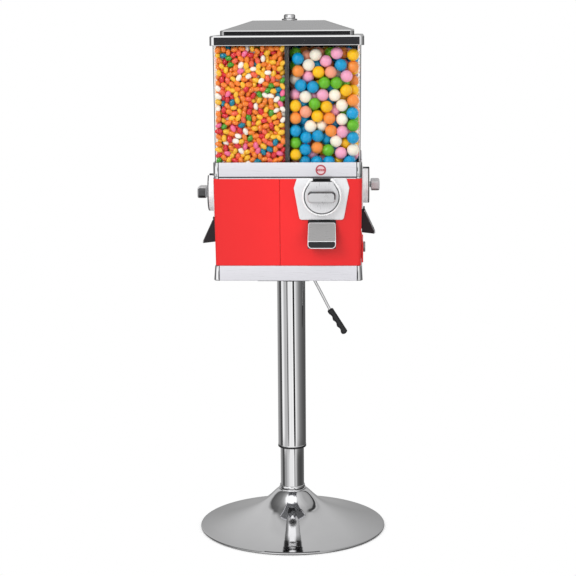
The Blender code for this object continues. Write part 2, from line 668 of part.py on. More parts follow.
def build_cash_door():
    leaf = box(HINGE_X - 0.8, HINGE_X + 0.8, HINGE_Y - 3.0, HINGE_Y, *HINGE_Z)
    knuckle = cylinder(HINGE_R, *HINGE_Z, 10, centre=(HINGE_X, HINGE_Y))
    back_rib = box(144.5, 150.4, -116.5, -114.8, 612, 648)
    lock_hole = cylinder(8.3, 140, 160, 16, top_radius=8.4, frame=DOOR_LOCK_AXIS)
    door = combine(extrude(DOOR_SECTION, [], *DOOR_Y, ACROSS_Y),
                   ("UNION", leaf), ("UNION", knuckle), ("UNION", back_rib),
                   ("DIFFERENCE", lock_hole))
    add("cash_door", door, RED, origin=HINGE_POINT)


def build_door_lock():
    body = lathe(DOOR_LOCK_BODY, 20, closed=True, frame=DOOR_LOCK_AXIS)
    add("door_lock_body", body, CHROME, origin=HINGE_POINT)
    plug = lock_plug(DOOR_PLUG_FRONT, DOOR_PLUG_BACK, 13.5, DOOR_LOCK_AXIS)
    add("door_lock_plug", plug, CHROME, origin=(DOOR_PLUG_BACK, DOOR_LOCK_Y, DOOR_LOCK_Z))


# ---------------------------------------------------------------- coin mechanism
MECH_FRAME = FACE @ Matrix.Translation((MECH_X, MECH_Z, 0))
PLATE_BACK = 151.4        # distance of the faceplate's back from the Z axis
PLATE_T = 2.5
WALL_OUT = PLATE_BACK - 1.8           # wall plane that the housing is measured from
HOUSING_R = 38.6
HOUSING_FRONT = WALL_OUT + 17.0
DIAL_R = 30.7
SLOT_HALF = 18.0
SHAFT_R = 4.0
HANDLE_HALF_W, HANDLE_HALF_H, HANDLE_D = 28.0, 11.25, 19.0
HANDLE_BACK = WALL_OUT + 20.8
HANDLE_FRONT = HANDLE_BACK + HANDLE_D
# (x, z, corner radius) from the mechanism's axis
PLATE_CORNERS = [(-49.4, 36.0, 1.0), (-55.8, 15, 4.0), (-44.0, -49, 6.0),
                 (44.0, -49, 6.0), (55.8, 15, 4.0), (49.4, 36.0, 1.0)]
# (radius, height of the brow, its half width, distance from the Z axis)
HOUSING_STATIONS = [
    (HOUSING_R, 35.9, 22.0, PLATE_BACK + 1.0), (HOUSING_R, 35.9, 22.0, WALL_OUT + 11.5),
    (37.6, 35.0, 21.4, WALL_OUT + 14.6), (33.4, 32.0, 20.0, HOUSING_FRONT),
    (DIAL_R, 26.0, 15.5, HOUSING_FRONT), (DIAL_R - 0.3, 25.7, 15.3, HOUSING_FRONT - 1.6)]
# (distance from the Z axis, inset of the outline, corner radius)
HANDLE_STATIONS = [(HANDLE_BACK, 1.2, 6.0), (HANDLE_BACK + 1.2, 0.0, 7.0),
                   (HANDLE_FRONT - 2.0, 0.0, 7.0), (HANDLE_FRONT, 2.0, 5.6)]


def housing_ring(radius, brow, half_brow, out):
    """Outline of the coin housing: a circle with a flat-topped brow that carries the coin slot."""
    points = []
    for i in range(19):
        angle = math.radians(-205 + 230.0 * i / 18)
        points.append((radius * math.cos(angle), radius * math.sin(angle)))
    points += [(half_brow + 4.2, brow - 4.6), (half_brow, brow),
               (-half_brow, brow), (-half_brow - 4.2, brow - 4.6)]
    return [FACE @ Vector((MECH_X + x, MECH_Z + z, out)) for x, z in points]


def faceplate():
    corners = [(MECH_X + x, z, radius) for x, z, radius in PLATE_CORNERS]
    outline = [(x, z + MECH_Z) for x, z in rounded(corners, 3)]
    plate = extrude(outline, [], PLATE_BACK, PLATE_BACK + PLATE_T, FACE)
    housing = loft([housing_ring(*station) for station in HOUSING_STATIONS])
    slot_notch = box(MECH_X - SLOT_HALF, MECH_X + SLOT_HALF, -WALL_OUT - 25, -WALL_OUT - 5.0,
                     MECH_Z + 30.4, MECH_Z + 40)
    slot_deep = box(MECH_X - SLOT_HALF + 2, MECH_X + SLOT_HALF - 2, -WALL_OUT - 11.5,
                    -WALL_OUT - 6.0, MECH_Z + 14, MECH_Z + 40)
    shaft_hole = cylinder(6.5, 145, 180, 12, frame=MECH_FRAME)
    return combine(plate, ("UNION", housing), ("DIFFERENCE", slot_notch),
                   ("DIFFERENCE", slot_deep), ("DIFFERENCE", shaft_hole))


def handle():
    """Bar with rounded corners on a stepped shaft that reaches in past the gear."""
    rings = []
    for out, inset, radius in HANDLE_STATIONS:
        x, z = HANDLE_HALF_W - inset, HANDLE_HALF_H - inset
        loop = rounded([(-x, -z, radius), (x, -z, radius), (x, z, radius), (-x, z, radius)], 3)
        rings.append([MECH_FRAME @ Vector((px, pz, out)) for px, pz in loop])
    shaft_end, step = GEAR_Y[0] - 3.5, WALL_OUT + 14.0
    shaft = lathe([(0, shaft_end), (SHAFT_R, shaft_end), (SHAFT_R, step), (6.0, step),
                   (6.0, HANDLE_BACK + 2), (0, HANDLE_BACK + 2)], 12, frame=MECH_FRAME)
    return combine(loft(rings), ("UNION", shaft))


# ---------------------------------------------------------------- vend wheel and drive gear
WHEEL_Z = (787.6, 798.0)
WHEEL_TEETH, WHEEL_R, WHEEL_ROOT, WHEEL_TOOTH = 16, 56.0, 44.0, 7.0
POCKETS, POCKET_R = 3, 13.5
GEAR_TEETH, GEAR_R, GEAR_ROOT, GEAR_TOOTH = 15, 51.0, 40.5, 6.0


def gear_outline(teeth, root, tip, width, tip_width, phase):
    """Straight-sided teeth; phase turns the outline by a fraction of a tooth pitch."""
    points = []
    for i in range(teeth):
        middle = 2 * math.pi * (i + phase) / teeth
        for radius, tooth, sign in ((root, width, -1), (tip, tip_width, -1),
                                    (tip, tip_width, 1), (root, width, 1)):
            angle = middle + sign * math.asin(tooth / 2 / radius)
            points.append((radius * math.cos(angle), radius * math.sin(angle)))
    return points


def drive_gear():
    outline = gear_outline(GEAR_TEETH, GEAR_ROOT, GEAR_R, GEAR_TOOTH, GEAR_TOOTH - 1.6, 0.0)
    shaft_hole = circle(0, 0, SHAFT_R + 0.5, 8)
    return extrude([(y, x) for x, y in outline], [shaft_hole], *GEAR_Y, MECH_FRAME)


def vend_wheel():
    outline = gear_outline(WHEEL_TEETH, WHEEL_ROOT, WHEEL_R, WHEEL_TOOTH, WHEEL_TOOTH, 0.5)
    holes = []
    for i in range(POCKETS):
        angle = math.radians(-30 + 360 // POCKETS * i)
        holes.append(circle(POCKET_AT * math.cos(angle), POCKET_AT * math.sin(angle),
                            POCKET_R, 12))
    holes.append(circle(0, 0, 5.6, 8))
    return extrude([(y, -x) for x, y in outline], holes, *WHEEL_Z,
                   Matrix.Translation((MECH_X, -WHEEL_Y, 0)))


# ---------------------------------------------------------------- delivery chute and flap
# The sloping front lies in a plane through these points, (distance from the Z axis, height).
FLAP_TOP, FLAP_FOOT = (153.5, 694.0), (178.6, 640.5)
FLAP_HALF, FLAP_T = 28.5, 1.6
# Duct stations: half width, then two (distance from the Z axis, height) edges,
# the first forward or high, the second rearward or low.
CHUTE_OUTER = [
    (15.6, (115.2, 784.3), (82.8, 784.3)), (15.6, (115.2, 689.0), (82.8, 689.0)),
    (25.2, (146.0, 689.0), (146.0, 651.4)), (25.2, (151.5, 689.0), (151.5, 651.4)),
    (28.3, (151.5, 695.4), (151.5, 643.6)), (28.3, FLAP_TOP, FLAP_FOOT)]
CHUTE_INNER = [
    (14.2, (113.8, 784.3), (84.2, 784.3)), (14.2, (113.8, 687.6), (84.2, 691.0)),
    (23.6, (146.0, 687.2), (146.0, 653.6)), (24.0, (152.0, 687.4), (152.0, 652.0)),
    (25.6, (FLAP_TOP[0] + 1.2, FLAP_TOP[1] - 2.6), (FLAP_FOOT[0] - 1.2, FLAP_FOOT[1] + 2.6))]
# (x, distance down the slope, corner radius)
FLAP_CORNERS = [(-FLAP_HALF + 1.2, 1.6, 3.5), (FLAP_HALF - 1.2, 1.6, 3.5), (FLAP_HALF, 40, 0),
                (FLAP_HALF, 59.4, 8.5), (-FLAP_HALF, 59.4, 8.5), (-FLAP_HALF, 40, 0)]
FLAP_HOLE = [(-22.6, 45.4, 5.2), (22.6, 45.4, 5.2), (22.6, 56.4, 5.2), (-22.6, 56.4, 5.2)]


def flap_frame():
    """Frame with y down the slope and z out of it."""
    down = Vector((0.0, -(FLAP_FOOT[0] - FLAP_TOP[0]), FLAP_FOOT[1] - FLAP_TOP[1])).normalized()
    out = Vector((0.0, down.z, -down.y))
    return Matrix(((1, 0, 0, MECH_X), (0, down.y, out.y, -FLAP_TOP[0]),
                   (0, down.z, out.z, FLAP_TOP[1]), (0, 0, 0, 1)))


FLAP_FRAME = flap_frame()
FLAP_HINGE = FLAP_FRAME @ Vector((0, 2.2, 2.2))


def duct_ring(half, first, second):
    left, right = MECH_X - half, MECH_X + half
    return [Vector((x, -distance, z)) for x, (distance, z) in
            ((left, first), (right, first), (right, second), (left, second))]


def chute():
    stations = CHUTE_OUTER + CHUTE_INNER[::-1]
    return loft([duct_ring(*station) for station in stations], closed=True)


def flap():
    """Plate with a long hole near its lower edge and a hinge roll at the top."""
    plate = extrude(rounded(FLAP_CORNERS, 3), [rounded(FLAP_HOLE, 3)], 0.5, 0.5 + FLAP_T,
                    FLAP_FRAME)
    roll = cylinder(1.6, -FLAP_HALF + 2, FLAP_HALF - 2, 8,
                    frame=along(FLAP_HINGE, (1, 0, 0), (0, 0, 1)))
    return combine(plate, ("UNION", roll))


# ---------------------------------------------------------------- fittings of the faces
BADGE_Z = 797.2
BADGE_PROFILE = [(0, 150.4), (10.7, 150.4), (10.7, 151.2), (10.2, 151.6), (0, 151.6)]


def build_face_fittings():
    world, handle_origin = (0, 0, 0), (MECH_X, -HANDLE_BACK, MECH_Z)
    fittings = [("faceplate_", faceplate(), SATIN, world),
                ("chute_", chute(), BLACK, world),
                ("handle_", handle(), SATIN, handle_origin),
                ("gear_", drive_gear(), ZINC, handle_origin),
                ("wheel_", vend_wheel(), WHITE, (MECH_X, -WHEEL_Y, WHEEL_Z[0])),
                ("flap_", flap(), BRUSHED, FLAP_HINGE)]
    for turn, face in enumerate(FACES):
        for prefix, mesh, look, origin in fittings:
            add(prefix + face, mesh, look, origin, turn)


def build_badge():
    """Round badge on the front of the mid frame."""
    frame = FACE @ Matrix.Translation((MECH_X, BADGE_Z, 0))
    add("badge", lathe(BADGE_PROFILE, 24, frame=frame), BADGE)


# ---------------------------------------------------------------- build
for build in (build_foot, build_neck_collar, build_inner_tube, build_gas_spring,
              build_outer_sleeve, build_mount_plate, build_lever_rod, build_lever_grip,
              build_valve_button, build_bottom_frame, build_panels, build_mid_frame,
              build_hopper_floor, build_globe, build_divider, build_top_frame, build_lid,
              build_lid_lock, build_cash_door, build_door_lock, build_face_fittings, build_badge):
    build()

# meshes that were only steps on the way
used = {obj.data for obj in bpy.data.objects if obj.type == "MESH"}
for mesh in list(bpy.data.meshes):
    if mesh not in used:
        bpy.data.meshes.remove(mesh)
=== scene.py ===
"""A four-sided sweet vending machine on a chrome column and round foot.

Metres, +Z up, the column on the Z axis, the front facing -Y and the right side +X.
Square parts, outlines and coin mechanisms are measured in millimetres and scaled by MM;
everything else is in metres.
"""

import math
from itertools import product

import bmesh
import bpy
import numpy as np
from mathutils import Matrix, Vector
from mathutils.geometry import tessellate_polygon

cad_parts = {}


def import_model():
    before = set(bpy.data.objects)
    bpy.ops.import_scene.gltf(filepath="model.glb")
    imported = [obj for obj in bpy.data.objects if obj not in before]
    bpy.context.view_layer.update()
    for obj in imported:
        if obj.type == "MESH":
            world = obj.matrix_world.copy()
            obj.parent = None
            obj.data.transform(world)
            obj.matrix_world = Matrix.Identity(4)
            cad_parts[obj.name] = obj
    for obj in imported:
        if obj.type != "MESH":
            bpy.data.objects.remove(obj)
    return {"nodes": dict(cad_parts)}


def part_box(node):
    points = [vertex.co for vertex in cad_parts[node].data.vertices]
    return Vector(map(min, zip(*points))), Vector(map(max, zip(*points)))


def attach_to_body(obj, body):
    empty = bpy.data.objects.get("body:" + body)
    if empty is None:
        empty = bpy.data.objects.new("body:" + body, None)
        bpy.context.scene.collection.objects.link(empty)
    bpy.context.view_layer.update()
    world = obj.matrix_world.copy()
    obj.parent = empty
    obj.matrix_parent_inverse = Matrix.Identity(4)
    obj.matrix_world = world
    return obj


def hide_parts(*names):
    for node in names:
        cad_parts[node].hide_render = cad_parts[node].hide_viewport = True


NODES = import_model()["nodes"]


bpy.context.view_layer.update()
SCENE = bpy.context.scene
MM = 0.001

SIDES = ["front", "right", "back", "left"]  # each a quarter turn on from the last
CORNER_POINTS = 13     # points round each quarter of a square or circular ring
BAND_RADIUS = 10.0     # mm, corners of the head's frames
SEAM_WIDTH = 2.1       # mm, joint beside each chrome corner piece
MECH_X, MECH_Z = 69.5, 745.0  # mm, centre of a coin mechanism on its side of the head
WALL = 149.6           # mm, from the axis to the face the mechanisms stand on
FLAP_TOP = (153.5, 694.0)     # mm, (distance out, height) of the flap's slope
FLAP_FOOT = (178.6, 640.5)
FLAP_HALF = 28.5       # mm, half width of the flap

HOPPER_LOW, HOPPER_HIGH = 0.8000, 1.0460
HOPPER_HALF = 0.1448   # inner face of the clear hopper
GUM_GAP, BEAN_GAP = 0.0036, 0.0030  # clearance to the dividers
GUM_RADIUS = 0.01235
BEAN_SPACING = 0.0058  # radius of the spheres the beans are packed as
BEAN_HALF = 0.0075     # half length of a bean
BEAN_LAYER = 0.031     # depth of the bean layer along the outer walls


# ---------------------------------------------------------------- shader graphs
class Graph:
    """Adds and links nodes. Plugged tuples are colours, sockets are linked."""

    def __init__(self, tree):
        self.tree = tree

    def plug(self, value, socket):
        if isinstance(value, bpy.types.NodeSocket):
            self.tree.links.new(value, socket)
        elif isinstance(value, tuple):
            socket.default_value = (*value, 1.0)
        else:
            socket.default_value = value

    def add(self, kind, inputs=None, **settings):
        node = self.tree.nodes.new(kind)
        for key, value in settings.items():
            setattr(node, key, value)
        for key, value in (inputs or {}).items():
            self.plug(value, node.inputs[key])
        return node

    def math(self, operation, *values):
        node = self.add("ShaderNodeMath", dict(enumerate(values)), operation=operation)
        return node.outputs[0]

    def length(self, vector):
        node = self.add("ShaderNodeVectorMath", {0: vector}, operation="LENGTH")
        return node.outputs["Value"]

    def mix(self, factor, first, second):
        inputs = {0: factor, 6: first, 7: second}
        return self.add("ShaderNodeMix", inputs, data_type="RGBA").outputs[2]

    def coordinates(self, space="Object"):
        return self.add("ShaderNodeTexCoord").outputs[space]

    def axes(self, space):
        return self.add("ShaderNodeSeparateXYZ", {0: self.coordinates(space)}).outputs


class Surface(Graph):
    """A material's graph around its Principled BSDF."""

    def __init__(self, name):
        self.material = bpy.data.materials.new(name)
        self.material.use_nodes = True
        super().__init__(self.material.node_tree)
        self.bsdf = self.tree.nodes["Principled BSDF"]

    def noise(self, scale, detail=3.0, roughness=0.5, stretch=(1, 1, 1)):
        place = self.add("ShaderNodeMapping",
                         {"Vector": self.coordinates(), "Scale": Vector(stretch)})
        return self.add("ShaderNodeTexNoise", {
            "Scale": scale, "Detail": detail, "Roughness": roughness,
            "Vector": place.outputs["Vector"]}).outputs["Fac"]

    def remap(self, value, low=0.0, high=1.0, start=0.35, end=0.65):
        """Map start..end of the value onto low..high."""
        return self.add("ShaderNodeMapRange", {
            "From Min": start, "From Max": end, "To Min": low, "To Max": high,
            "Value": value}).outputs["Result"]

    def facing(self, blend):
        return self.add("ShaderNodeLayerWeight", {"Blend": blend}).outputs["Facing"]

    def bump(self, height, strength, distance):
        inputs = {"Strength": strength, "Distance": distance, "Height": height}
        return self.add("ShaderNodeBump", inputs).outputs["Normal"]

    def set(self, **values):
        for key, value in values.items():
            self.plug(value, self.bsdf.inputs[key.replace("_", " ")])

    def blend_shader(self, factor, other):
        """Show the other shader in place of the BSDF by the factor."""
        mix = self.add("ShaderNodeMixShader",
                       {0: factor, 1: self.bsdf.outputs[0], 2: other.outputs[0]})
        self.plug(mix.outputs[0], self.tree.nodes["Material Output"].inputs["Surface"])


def srgb(*channels):
    """0-255 sRGB to linear."""
    values = [v / 255.0 for v in channels]
    return tuple(v / 12.92 if v <= 0.04045 else ((v + 0.055) / 1.055) ** 2.4 for v in values)


def shade(colour, factor):
    return tuple(factor * v for v in colour)


# ---------------------------------------------------------------- material recipes
def chrome(name, base=(0.93, 0.93, 0.94), rough=0.03, painted_rim_shade=None):
    """Plating; given a rim shade factor, its colour is painted darker from the foot's neck out
    to its rim, a painted shade.
    """
    s = Surface(name)
    cloud = s.noise(scale=9.0, roughness=0.55)
    fine = s.noise(scale=900.0, detail=2.0, roughness=0.6)
    colour = s.mix(s.remap(cloud), base, shade(base, 0.965))
    smear = s.noise(scale=38.0, detail=4.0, roughness=0.6, stretch=(1, 1, 0.25))
    s.set(Metallic=1.0, Roughness=s.remap(smear, low=rough * 0.7, high=rough * 1.6),
          Normal=s.bump(fine, strength=0.012, distance=0.0004))
    # painted shade: the colour darkens with distance from the axis
    if painted_rim_shade is not None:
        flat = s.add("ShaderNodeVectorMath", {0: s.coordinates(), 1: Vector((1, 1, 0))},
                     operation="MULTIPLY")
        painted_rim_fade = s.remap(s.length(flat.outputs[0]), low=1.0, high=painted_rim_shade,
                       start=0.085, end=0.200)
        colour = s.add("ShaderNodeVectorMath", {0: colour, "Scale": painted_rim_fade},
                       operation="SCALE").outputs[0]
    s.set(Base_Color=colour)
    return s.material


def painted_outline_polish(name, face=(0.93, 0.93, 0.94), side=(0.05, 0.05, 0.055)):
    """Small polished rounds with a painted reflection: bright across the middle, painted dark
    where the surface turns away.
    """
    s = Surface(name)
    turn = s.facing(blend=0.5)
    polish = s.noise(scale=60.0, roughness=0.6)
    s.set(Metallic=0.9, Roughness=s.remap(polish, low=0.10, high=0.20))
    grain = s.mix(s.remap(s.noise(scale=240.0, detail=2.0)), face, shade(face, 0.94))
    # painted reflection: the dark side colour takes over towards the silhouette
    s.set(Base_Color=s.mix(s.remap(turn, start=0.42, end=0.62), grain, side))
    fine = s.noise(scale=800.0, detail=2.0, roughness=0.6)
    s.set(Normal=s.bump(fine, strength=0.012, distance=0.0004))
    return s.material


def satin(name, base, rough, streak, bump, metallic=1.0):
    """Brushed or satin plate: parallel streaks drive roughness and bump."""
    s = Surface(name)
    lines = s.noise(scale=55.0, detail=4.0, roughness=0.65, stretch=streak)
    cloud = s.noise(scale=14.0)
    colour = s.mix(s.remap(lines), shade(base, 0.93), base)
    s.set(Metallic=metallic,
          Base_Color=s.mix(s.remap(cloud, high=0.5), colour, shade(base, 0.97)),
          Roughness=s.remap(lines, low=rough * 0.75, high=rough * 1.35),
          Normal=s.bump(lines, strength=bump, distance=0.0005))
    return s.material


def paint(name, base, dark, rough):
    """Enamel with painted shade: a little darker away from the planes through the axis, towards
    the corners.
    """
    s = Surface(name)
    cloud = s.noise(scale=6.0)
    peel = s.noise(scale=420.0, detail=2.0)
    x, y, _ = s.axes("Object")
    # painted shade: darker towards the panels' corners
    nearest = s.math("MINIMUM", s.math("ABSOLUTE", x), s.math("ABSOLUTE", y))
    colour = s.mix(s.remap(cloud), base, dark)
    s.set(Base_Color=s.mix(s.remap(nearest, start=0.03, end=0.15), colour, shade(dark, 0.91)))
    gloss = s.noise(scale=60.0, roughness=0.6)
    s.set(Roughness=s.remap(gloss, low=rough * 0.85, high=rough * 1.2),
          Normal=s.bump(peel, strength=0.05, distance=0.0004),
          Coat_Weight=0.10, Coat_Roughness=0.12, Specular_IOR_Level=0.35)
    return s.material


def moulded(name, base, rough=0.42, grain=520.0, bump=0.10, coat=0.0):
    s = Surface(name)
    fine = s.noise(scale=grain, roughness=0.6)
    cloud = s.noise(scale=12.0, detail=2.0)
    s.set(Base_Color=s.mix(s.remap(cloud), base, shade(base, 0.82)),
          Roughness=s.remap(fine, low=rough * 0.8, high=rough * 1.25),
          Normal=s.bump(fine, strength=bump, distance=0.0005), Coat_Weight=coat)
    return s.material


def clear(name):
    """Clear plastic: bends the view, lets light straight through to what is inside."""
    s = Surface(name)
    # painted shade: the colour turns grey where the surface turns away from view
    rim = s.remap(s.facing(blend=0.12), start=0.72, end=0.98)
    s.set(Base_Color=s.mix(rim, (0.99, 0.993, 0.996), (0.36, 0.35, 0.36)),
          Transmission_Weight=1.0, IOR=1.10)
    s.set(Roughness=s.remap(s.noise(scale=25.0, roughness=0.6), high=0.02))
    s.set(Normal=s.bump(s.noise(scale=14.0, detail=2.0), strength=0.01, distance=0.001))
    ray = s.add("ShaderNodeLightPath").outputs
    direct = s.math("MAXIMUM", ray["Is Shadow Ray"], ray["Is Diffuse Ray"])
    s.blend_shader(direct, s.add("ShaderNodeBsdfTransparent", {"Color": (0.97, 0.975, 0.98)}))
    return s.material


def sweet(name, base, dark, rough, grain, bump):
    """Sugar shell: faint mottling, tiny dimples, a soft gloss."""
    s = Surface(name)
    spots = s.noise(scale=grain, detail=4.0, roughness=0.65)
    cloud = s.noise(scale=38.0, detail=2.0)
    colour = s.mix(s.remap(cloud, start=0.3, end=0.7), base, dark)
    pale = tuple(min(1.0, 0.55 * v + 0.45) for v in base)
    s.set(Base_Color=s.mix(s.remap(spots, high=0.05, start=0.55, end=0.72), colour, pale),
          Roughness=s.remap(spots, low=rough * 0.8, high=rough * 1.5),
          Normal=s.bump(spots, strength=bump, distance=0.0004),
          Specular_IOR_Level=0.35, Coat_Weight=0.08, Coat_Roughness=0.1,
          Subsurface_Weight=0.08, Subsurface_Scale=0.003)
    return s.material


CHROME = chrome("chrome_plate")
FOOT_CHROME = chrome("chrome_foot", rough=0.035, painted_rim_shade=0.78)
# painted reflection: dark chrome for the lid rim's upright face
PAINTED_DARK_CHROME = chrome("chrome_painted_dark", base=(0.45, 0.45, 0.455), rough=0.05)
# painted shadow in the joints and grooves of the frames and neck rings
SEAM_SHADOW = moulded("seam_shadow", (0.035, 0.035, 0.04), rough=0.5, grain=400.0, bump=0.03)
# painted shade: dark metal for the shaded faces of the handles and the flap rims
PAINTED_SHADE = satin("painted_shade_metal", (0.13, 0.13, 0.135), rough=0.35, streak=(1, 1, 20), bump=0.02)
BAND = satin("light_band", (0.70, 0.695, 0.735), rough=0.36, streak=(0.4, 0.4, 24),
             bump=0.012, metallic=0.30)
MECH = satin("mech_plate", (0.78, 0.78, 0.795), rough=0.34, streak=(6, 1, 1),
             bump=0.012, metallic=0.40)
FLAP = satin("flap_plate", (0.35, 0.345, 0.345), rough=0.34, streak=(1, 1, 22),
             bump=0.10, metallic=0.7)
BACKING = satin("backing_plate", (0.765, 0.765, 0.78), rough=0.36, streak=(30, 1, 1),
                bump=0.02, metallic=0.15)
HANDLE = satin("handle_plate", (0.60, 0.60, 0.61), rough=0.34, streak=(2, 1, 1),
               bump=0.008, metallic=0.40)
# painted highlight: a brighter copy of the mechanism's satin for its shoulder
PAINTED_HIGHLIGHT = satin("painted_highlight_rim", (0.97, 0.97, 0.975), rough=0.26, streak=(30, 1, 1),
                   bump=0.01, metallic=0.25)
LID = satin("lid_plate", (0.62, 0.62, 0.625), rough=0.20, streak=(1, 14, 1), bump=0.004)
ZINC = satin("zinc_plate", (0.55, 0.56, 0.58), rough=0.42, streak=(1, 1, 1), bump=0.06)
RED = paint("red_enamel", srgb(234, 34, 36), dark=srgb(226, 31, 33), rough=0.36)
BLACK = moulded("black_moulding", (0.016, 0.016, 0.018))
CHUTE = moulded("chute_moulding", (0.014, 0.015, 0.018), rough=0.62, grain=700.0, bump=0.05)
RUBBER = moulded("rubber_ring", (0.02, 0.02, 0.02), rough=0.75, grain=300.0, bump=0.2)
STEEL = moulded("black_steel", (0.02, 0.02, 0.022), rough=0.4)
SMOKE = moulded("smoky_sheet", srgb(46, 43, 40), rough=0.45, grain=260.0, bump=0.03)
WHITE = moulded("white_moulding", (0.72, 0.72, 0.70), rough=0.4)
CLEAR = clear("clear_shell")
POLISHED = painted_outline_polish("polished_round_painted_outline")
DARK = moulded("slot_dark", (0.008, 0.008, 0.009), rough=0.5)
# painted shade in the dial grooves and on the housings' side shoulders, painted reflection on
# the foot's front edge
SHADE_AND_REFLECTION = satin("painted_shade_and_reflection", (0.16, 0.16, 0.165), rough=0.4, streak=(1, 1, 12),
               bump=0.02, metallic=0.6)


# ---------------------------------------------------------------- mesh building
def mark_sharp(mesh, degrees):
    bm = bmesh.new()
    bm.from_mesh(mesh)
    limit = math.radians(degrees)
    for edge in bm.edges:
        if len(edge.link_faces) == 2 and edge.calc_face_angle(0.0) > limit:
            edge.smooth = False
    bm.to_mesh(mesh)
    bm.free()


def build(name, verts, faces, material, smooth=35.0, bevel=0.0, segments=2):
    """Mesh object with bevelled edges, or sharp ones above the smooth angle."""
    mesh = bpy.data.meshes.new(name)
    bm = bmesh.new()
    corners = [bm.verts.new(v) for v in verts]
    for face in faces:
        bm.faces.new([corners[i] for i in face])
    bmesh.ops.remove_doubles(bm, verts=bm.verts[:], dist=1e-7)
    bmesh.ops.recalc_face_normals(bm, faces=bm.faces[:])
    for face in bm.faces:
        face.smooth = True
    bm.to_mesh(mesh)
    bm.free()
    obj = bpy.data.objects.new(name, mesh)
    SCENE.collection.objects.link(obj)
    mesh.materials.append(material)
    if bevel > 0:
        edge = obj.modifiers.new("edge", "BEVEL")
        edge.width = bevel
        edge.segments = segments
        edge.limit_method = "ANGLE"
        edge.angle_limit = math.radians(30.0)
        obj.modifiers.new("normals", "WEIGHTED_NORMAL").keep_sharp = True
    else:
        mark_sharp(mesh, smooth)
    return obj


def lathe(name, profile, material, sides=128, frame=None, closed=False, smooth=35.0):
    """Turn (radius, z) points in metres about Z; zero radius makes a pole."""
    verts, faces, rings = [], [], []
    for radius, z in profile:
        first = len(verts)
        if radius < 1e-7:
            verts.append(Vector((0, 0, z)))
        else:
            for i in range(sides):
                angle = 2 * math.pi * i / sides
                verts.append(Vector((radius * math.cos(angle), radius * math.sin(angle), z)))
        rings.append(list(range(first, len(verts))))
    pairs = list(zip(rings, rings[1:])) + ([(rings[-1], rings[0])] if closed else [])
    for a, b in pairs:
        for i in range(sides):
            j = (i + 1) % sides
            if len(a) == 1:
                faces.append((a[0], b[i], b[j]))
            elif len(b) == 1:
                faces.append((a[i], a[j], b[0]))
            else:
                faces.append((a[i], a[j], b[j], b[i]))
    if frame is not None:
        verts = [frame @ v for v in verts]
    return build(name, verts, faces, material, smooth)


def loft(name, rings, material, closed=False, smooth=35.0):
    """Skin equal rings of points; open lofts are capped, closed ones join end to start."""
    n, count = len(rings[0]), len(rings)
    verts = [point for ring in rings for point in ring]
    pairs = [(k, k + 1) for k in range(count - 1)] + ([(count - 1, 0)] if closed else [])
    faces = []
    for a, b in pairs:
        for i in range(n):
            j = (i + 1) % n
            faces.append((a * n + i, a * n + j, b * n + j, b * n + i))
    if not closed:
        faces += [tuple(k * n + i for i in range(n)) for k in (0, count - 1)]
    return build(name, verts, faces, material, smooth)


def plate(name, outer, holes, low, high, material, place, bevel=0.0, segments=2):
    """Prism over an outline with holes, in mm; place maps (x, y, height) to the scene."""
    loops = [[(x * MM, y * MM) for x, y in loop] for loop in [outer] + holes]
    triangles = tessellate_polygon([[Vector((*p, 0.0)) for p in loop] for loop in loops])
    count = sum(len(loop) for loop in loops)
    verts = [place @ Vector((*p, z * MM)) for z in (low, high) for loop in loops for p in loop]
    faces = [tuple(t) for t in triangles] + [tuple(i + count for i in t) for t in triangles]
    start = 0
    for loop in loops:
        n = len(loop)
        for i in range(n):
            j = (i + 1) % n
            faces.append((start + i, start + j, start + j + count, start + i + count))
        start += n
    return build(name, verts, faces, material, bevel=bevel, segments=segments)


def sweep(name, path, radius, material, sides):
    """Round bar along a path in the XZ plane."""
    rings = []
    for i, point in enumerate(path):
        ahead = (path[min(i + 1, len(path) - 1)] - path[max(i - 1, 0)]).normalized()
        side = Vector((0, 1, 0))
        up = ahead.cross(side).normalized()
        angles = [2 * math.pi * k / sides for k in range(sides)]
        rings.append([point + (side * math.cos(a) + up * math.sin(a)) * radius for a in angles])
    return loft(name, rings, material, smooth=60)


def rounded_square(half, radius, z, seam=0.0):
    """Ring in mm; seam adds a point on the straight run at each end of a corner."""
    points = []
    for k, (sx, sy) in enumerate([(1, 1), (-1, 1), (-1, -1), (1, -1)]):
        arc = []
        for i in range(CORNER_POINTS):
            angle = math.radians(90 * k + 90 * i / (CORNER_POINTS - 1))
            arc.append(Vector((sx * (half * MM - radius * MM) + radius * MM * math.cos(angle),
                               sy * (half * MM - radius * MM) + radius * MM * math.sin(angle),
                               z * MM)))
        if seam > 0:
            back, ahead = [Vector((math.cos(a), math.sin(a), 0)) * (seam * MM)
                           for a in (math.radians(90 * k - 90), math.radians(90 * k + 180))]
            arc = [arc[0] + back] + arc + [arc[-1] + ahead]
        points += arc
    return points


def circle_ring(radius, z):
    """Circle in mm whose points pair with those of a rounded square."""
    points = []
    for i in range(4 * CORNER_POINTS):
        angle = math.radians((i // CORNER_POINTS + (i % CORNER_POINTS + 0.5) / CORNER_POINTS)
                             * 90.0)
        points.append(Vector((radius * MM * math.cos(angle), radius * MM * math.sin(angle),
                              z * MM)))
    return points


def smooth_curve(points, steps):
    """Catmull-Rom through (radius, z) points."""
    out = []
    knots = [Vector(p) for p in [points[0]] + points + [points[-1]]]
    for a, b, c, d in zip(knots, knots[1:], knots[2:], knots[3:]):
        for k in range(steps):
            t = k / steps
            out.append(tuple(0.5 * ((2 * b) + (c - a) * t + (2 * a - 5 * b + 4 * c - d) * t * t
                                    + (3 * b - a - 3 * c + d) * t ** 3)))
    out.append(tuple(points[-1]))
    return out


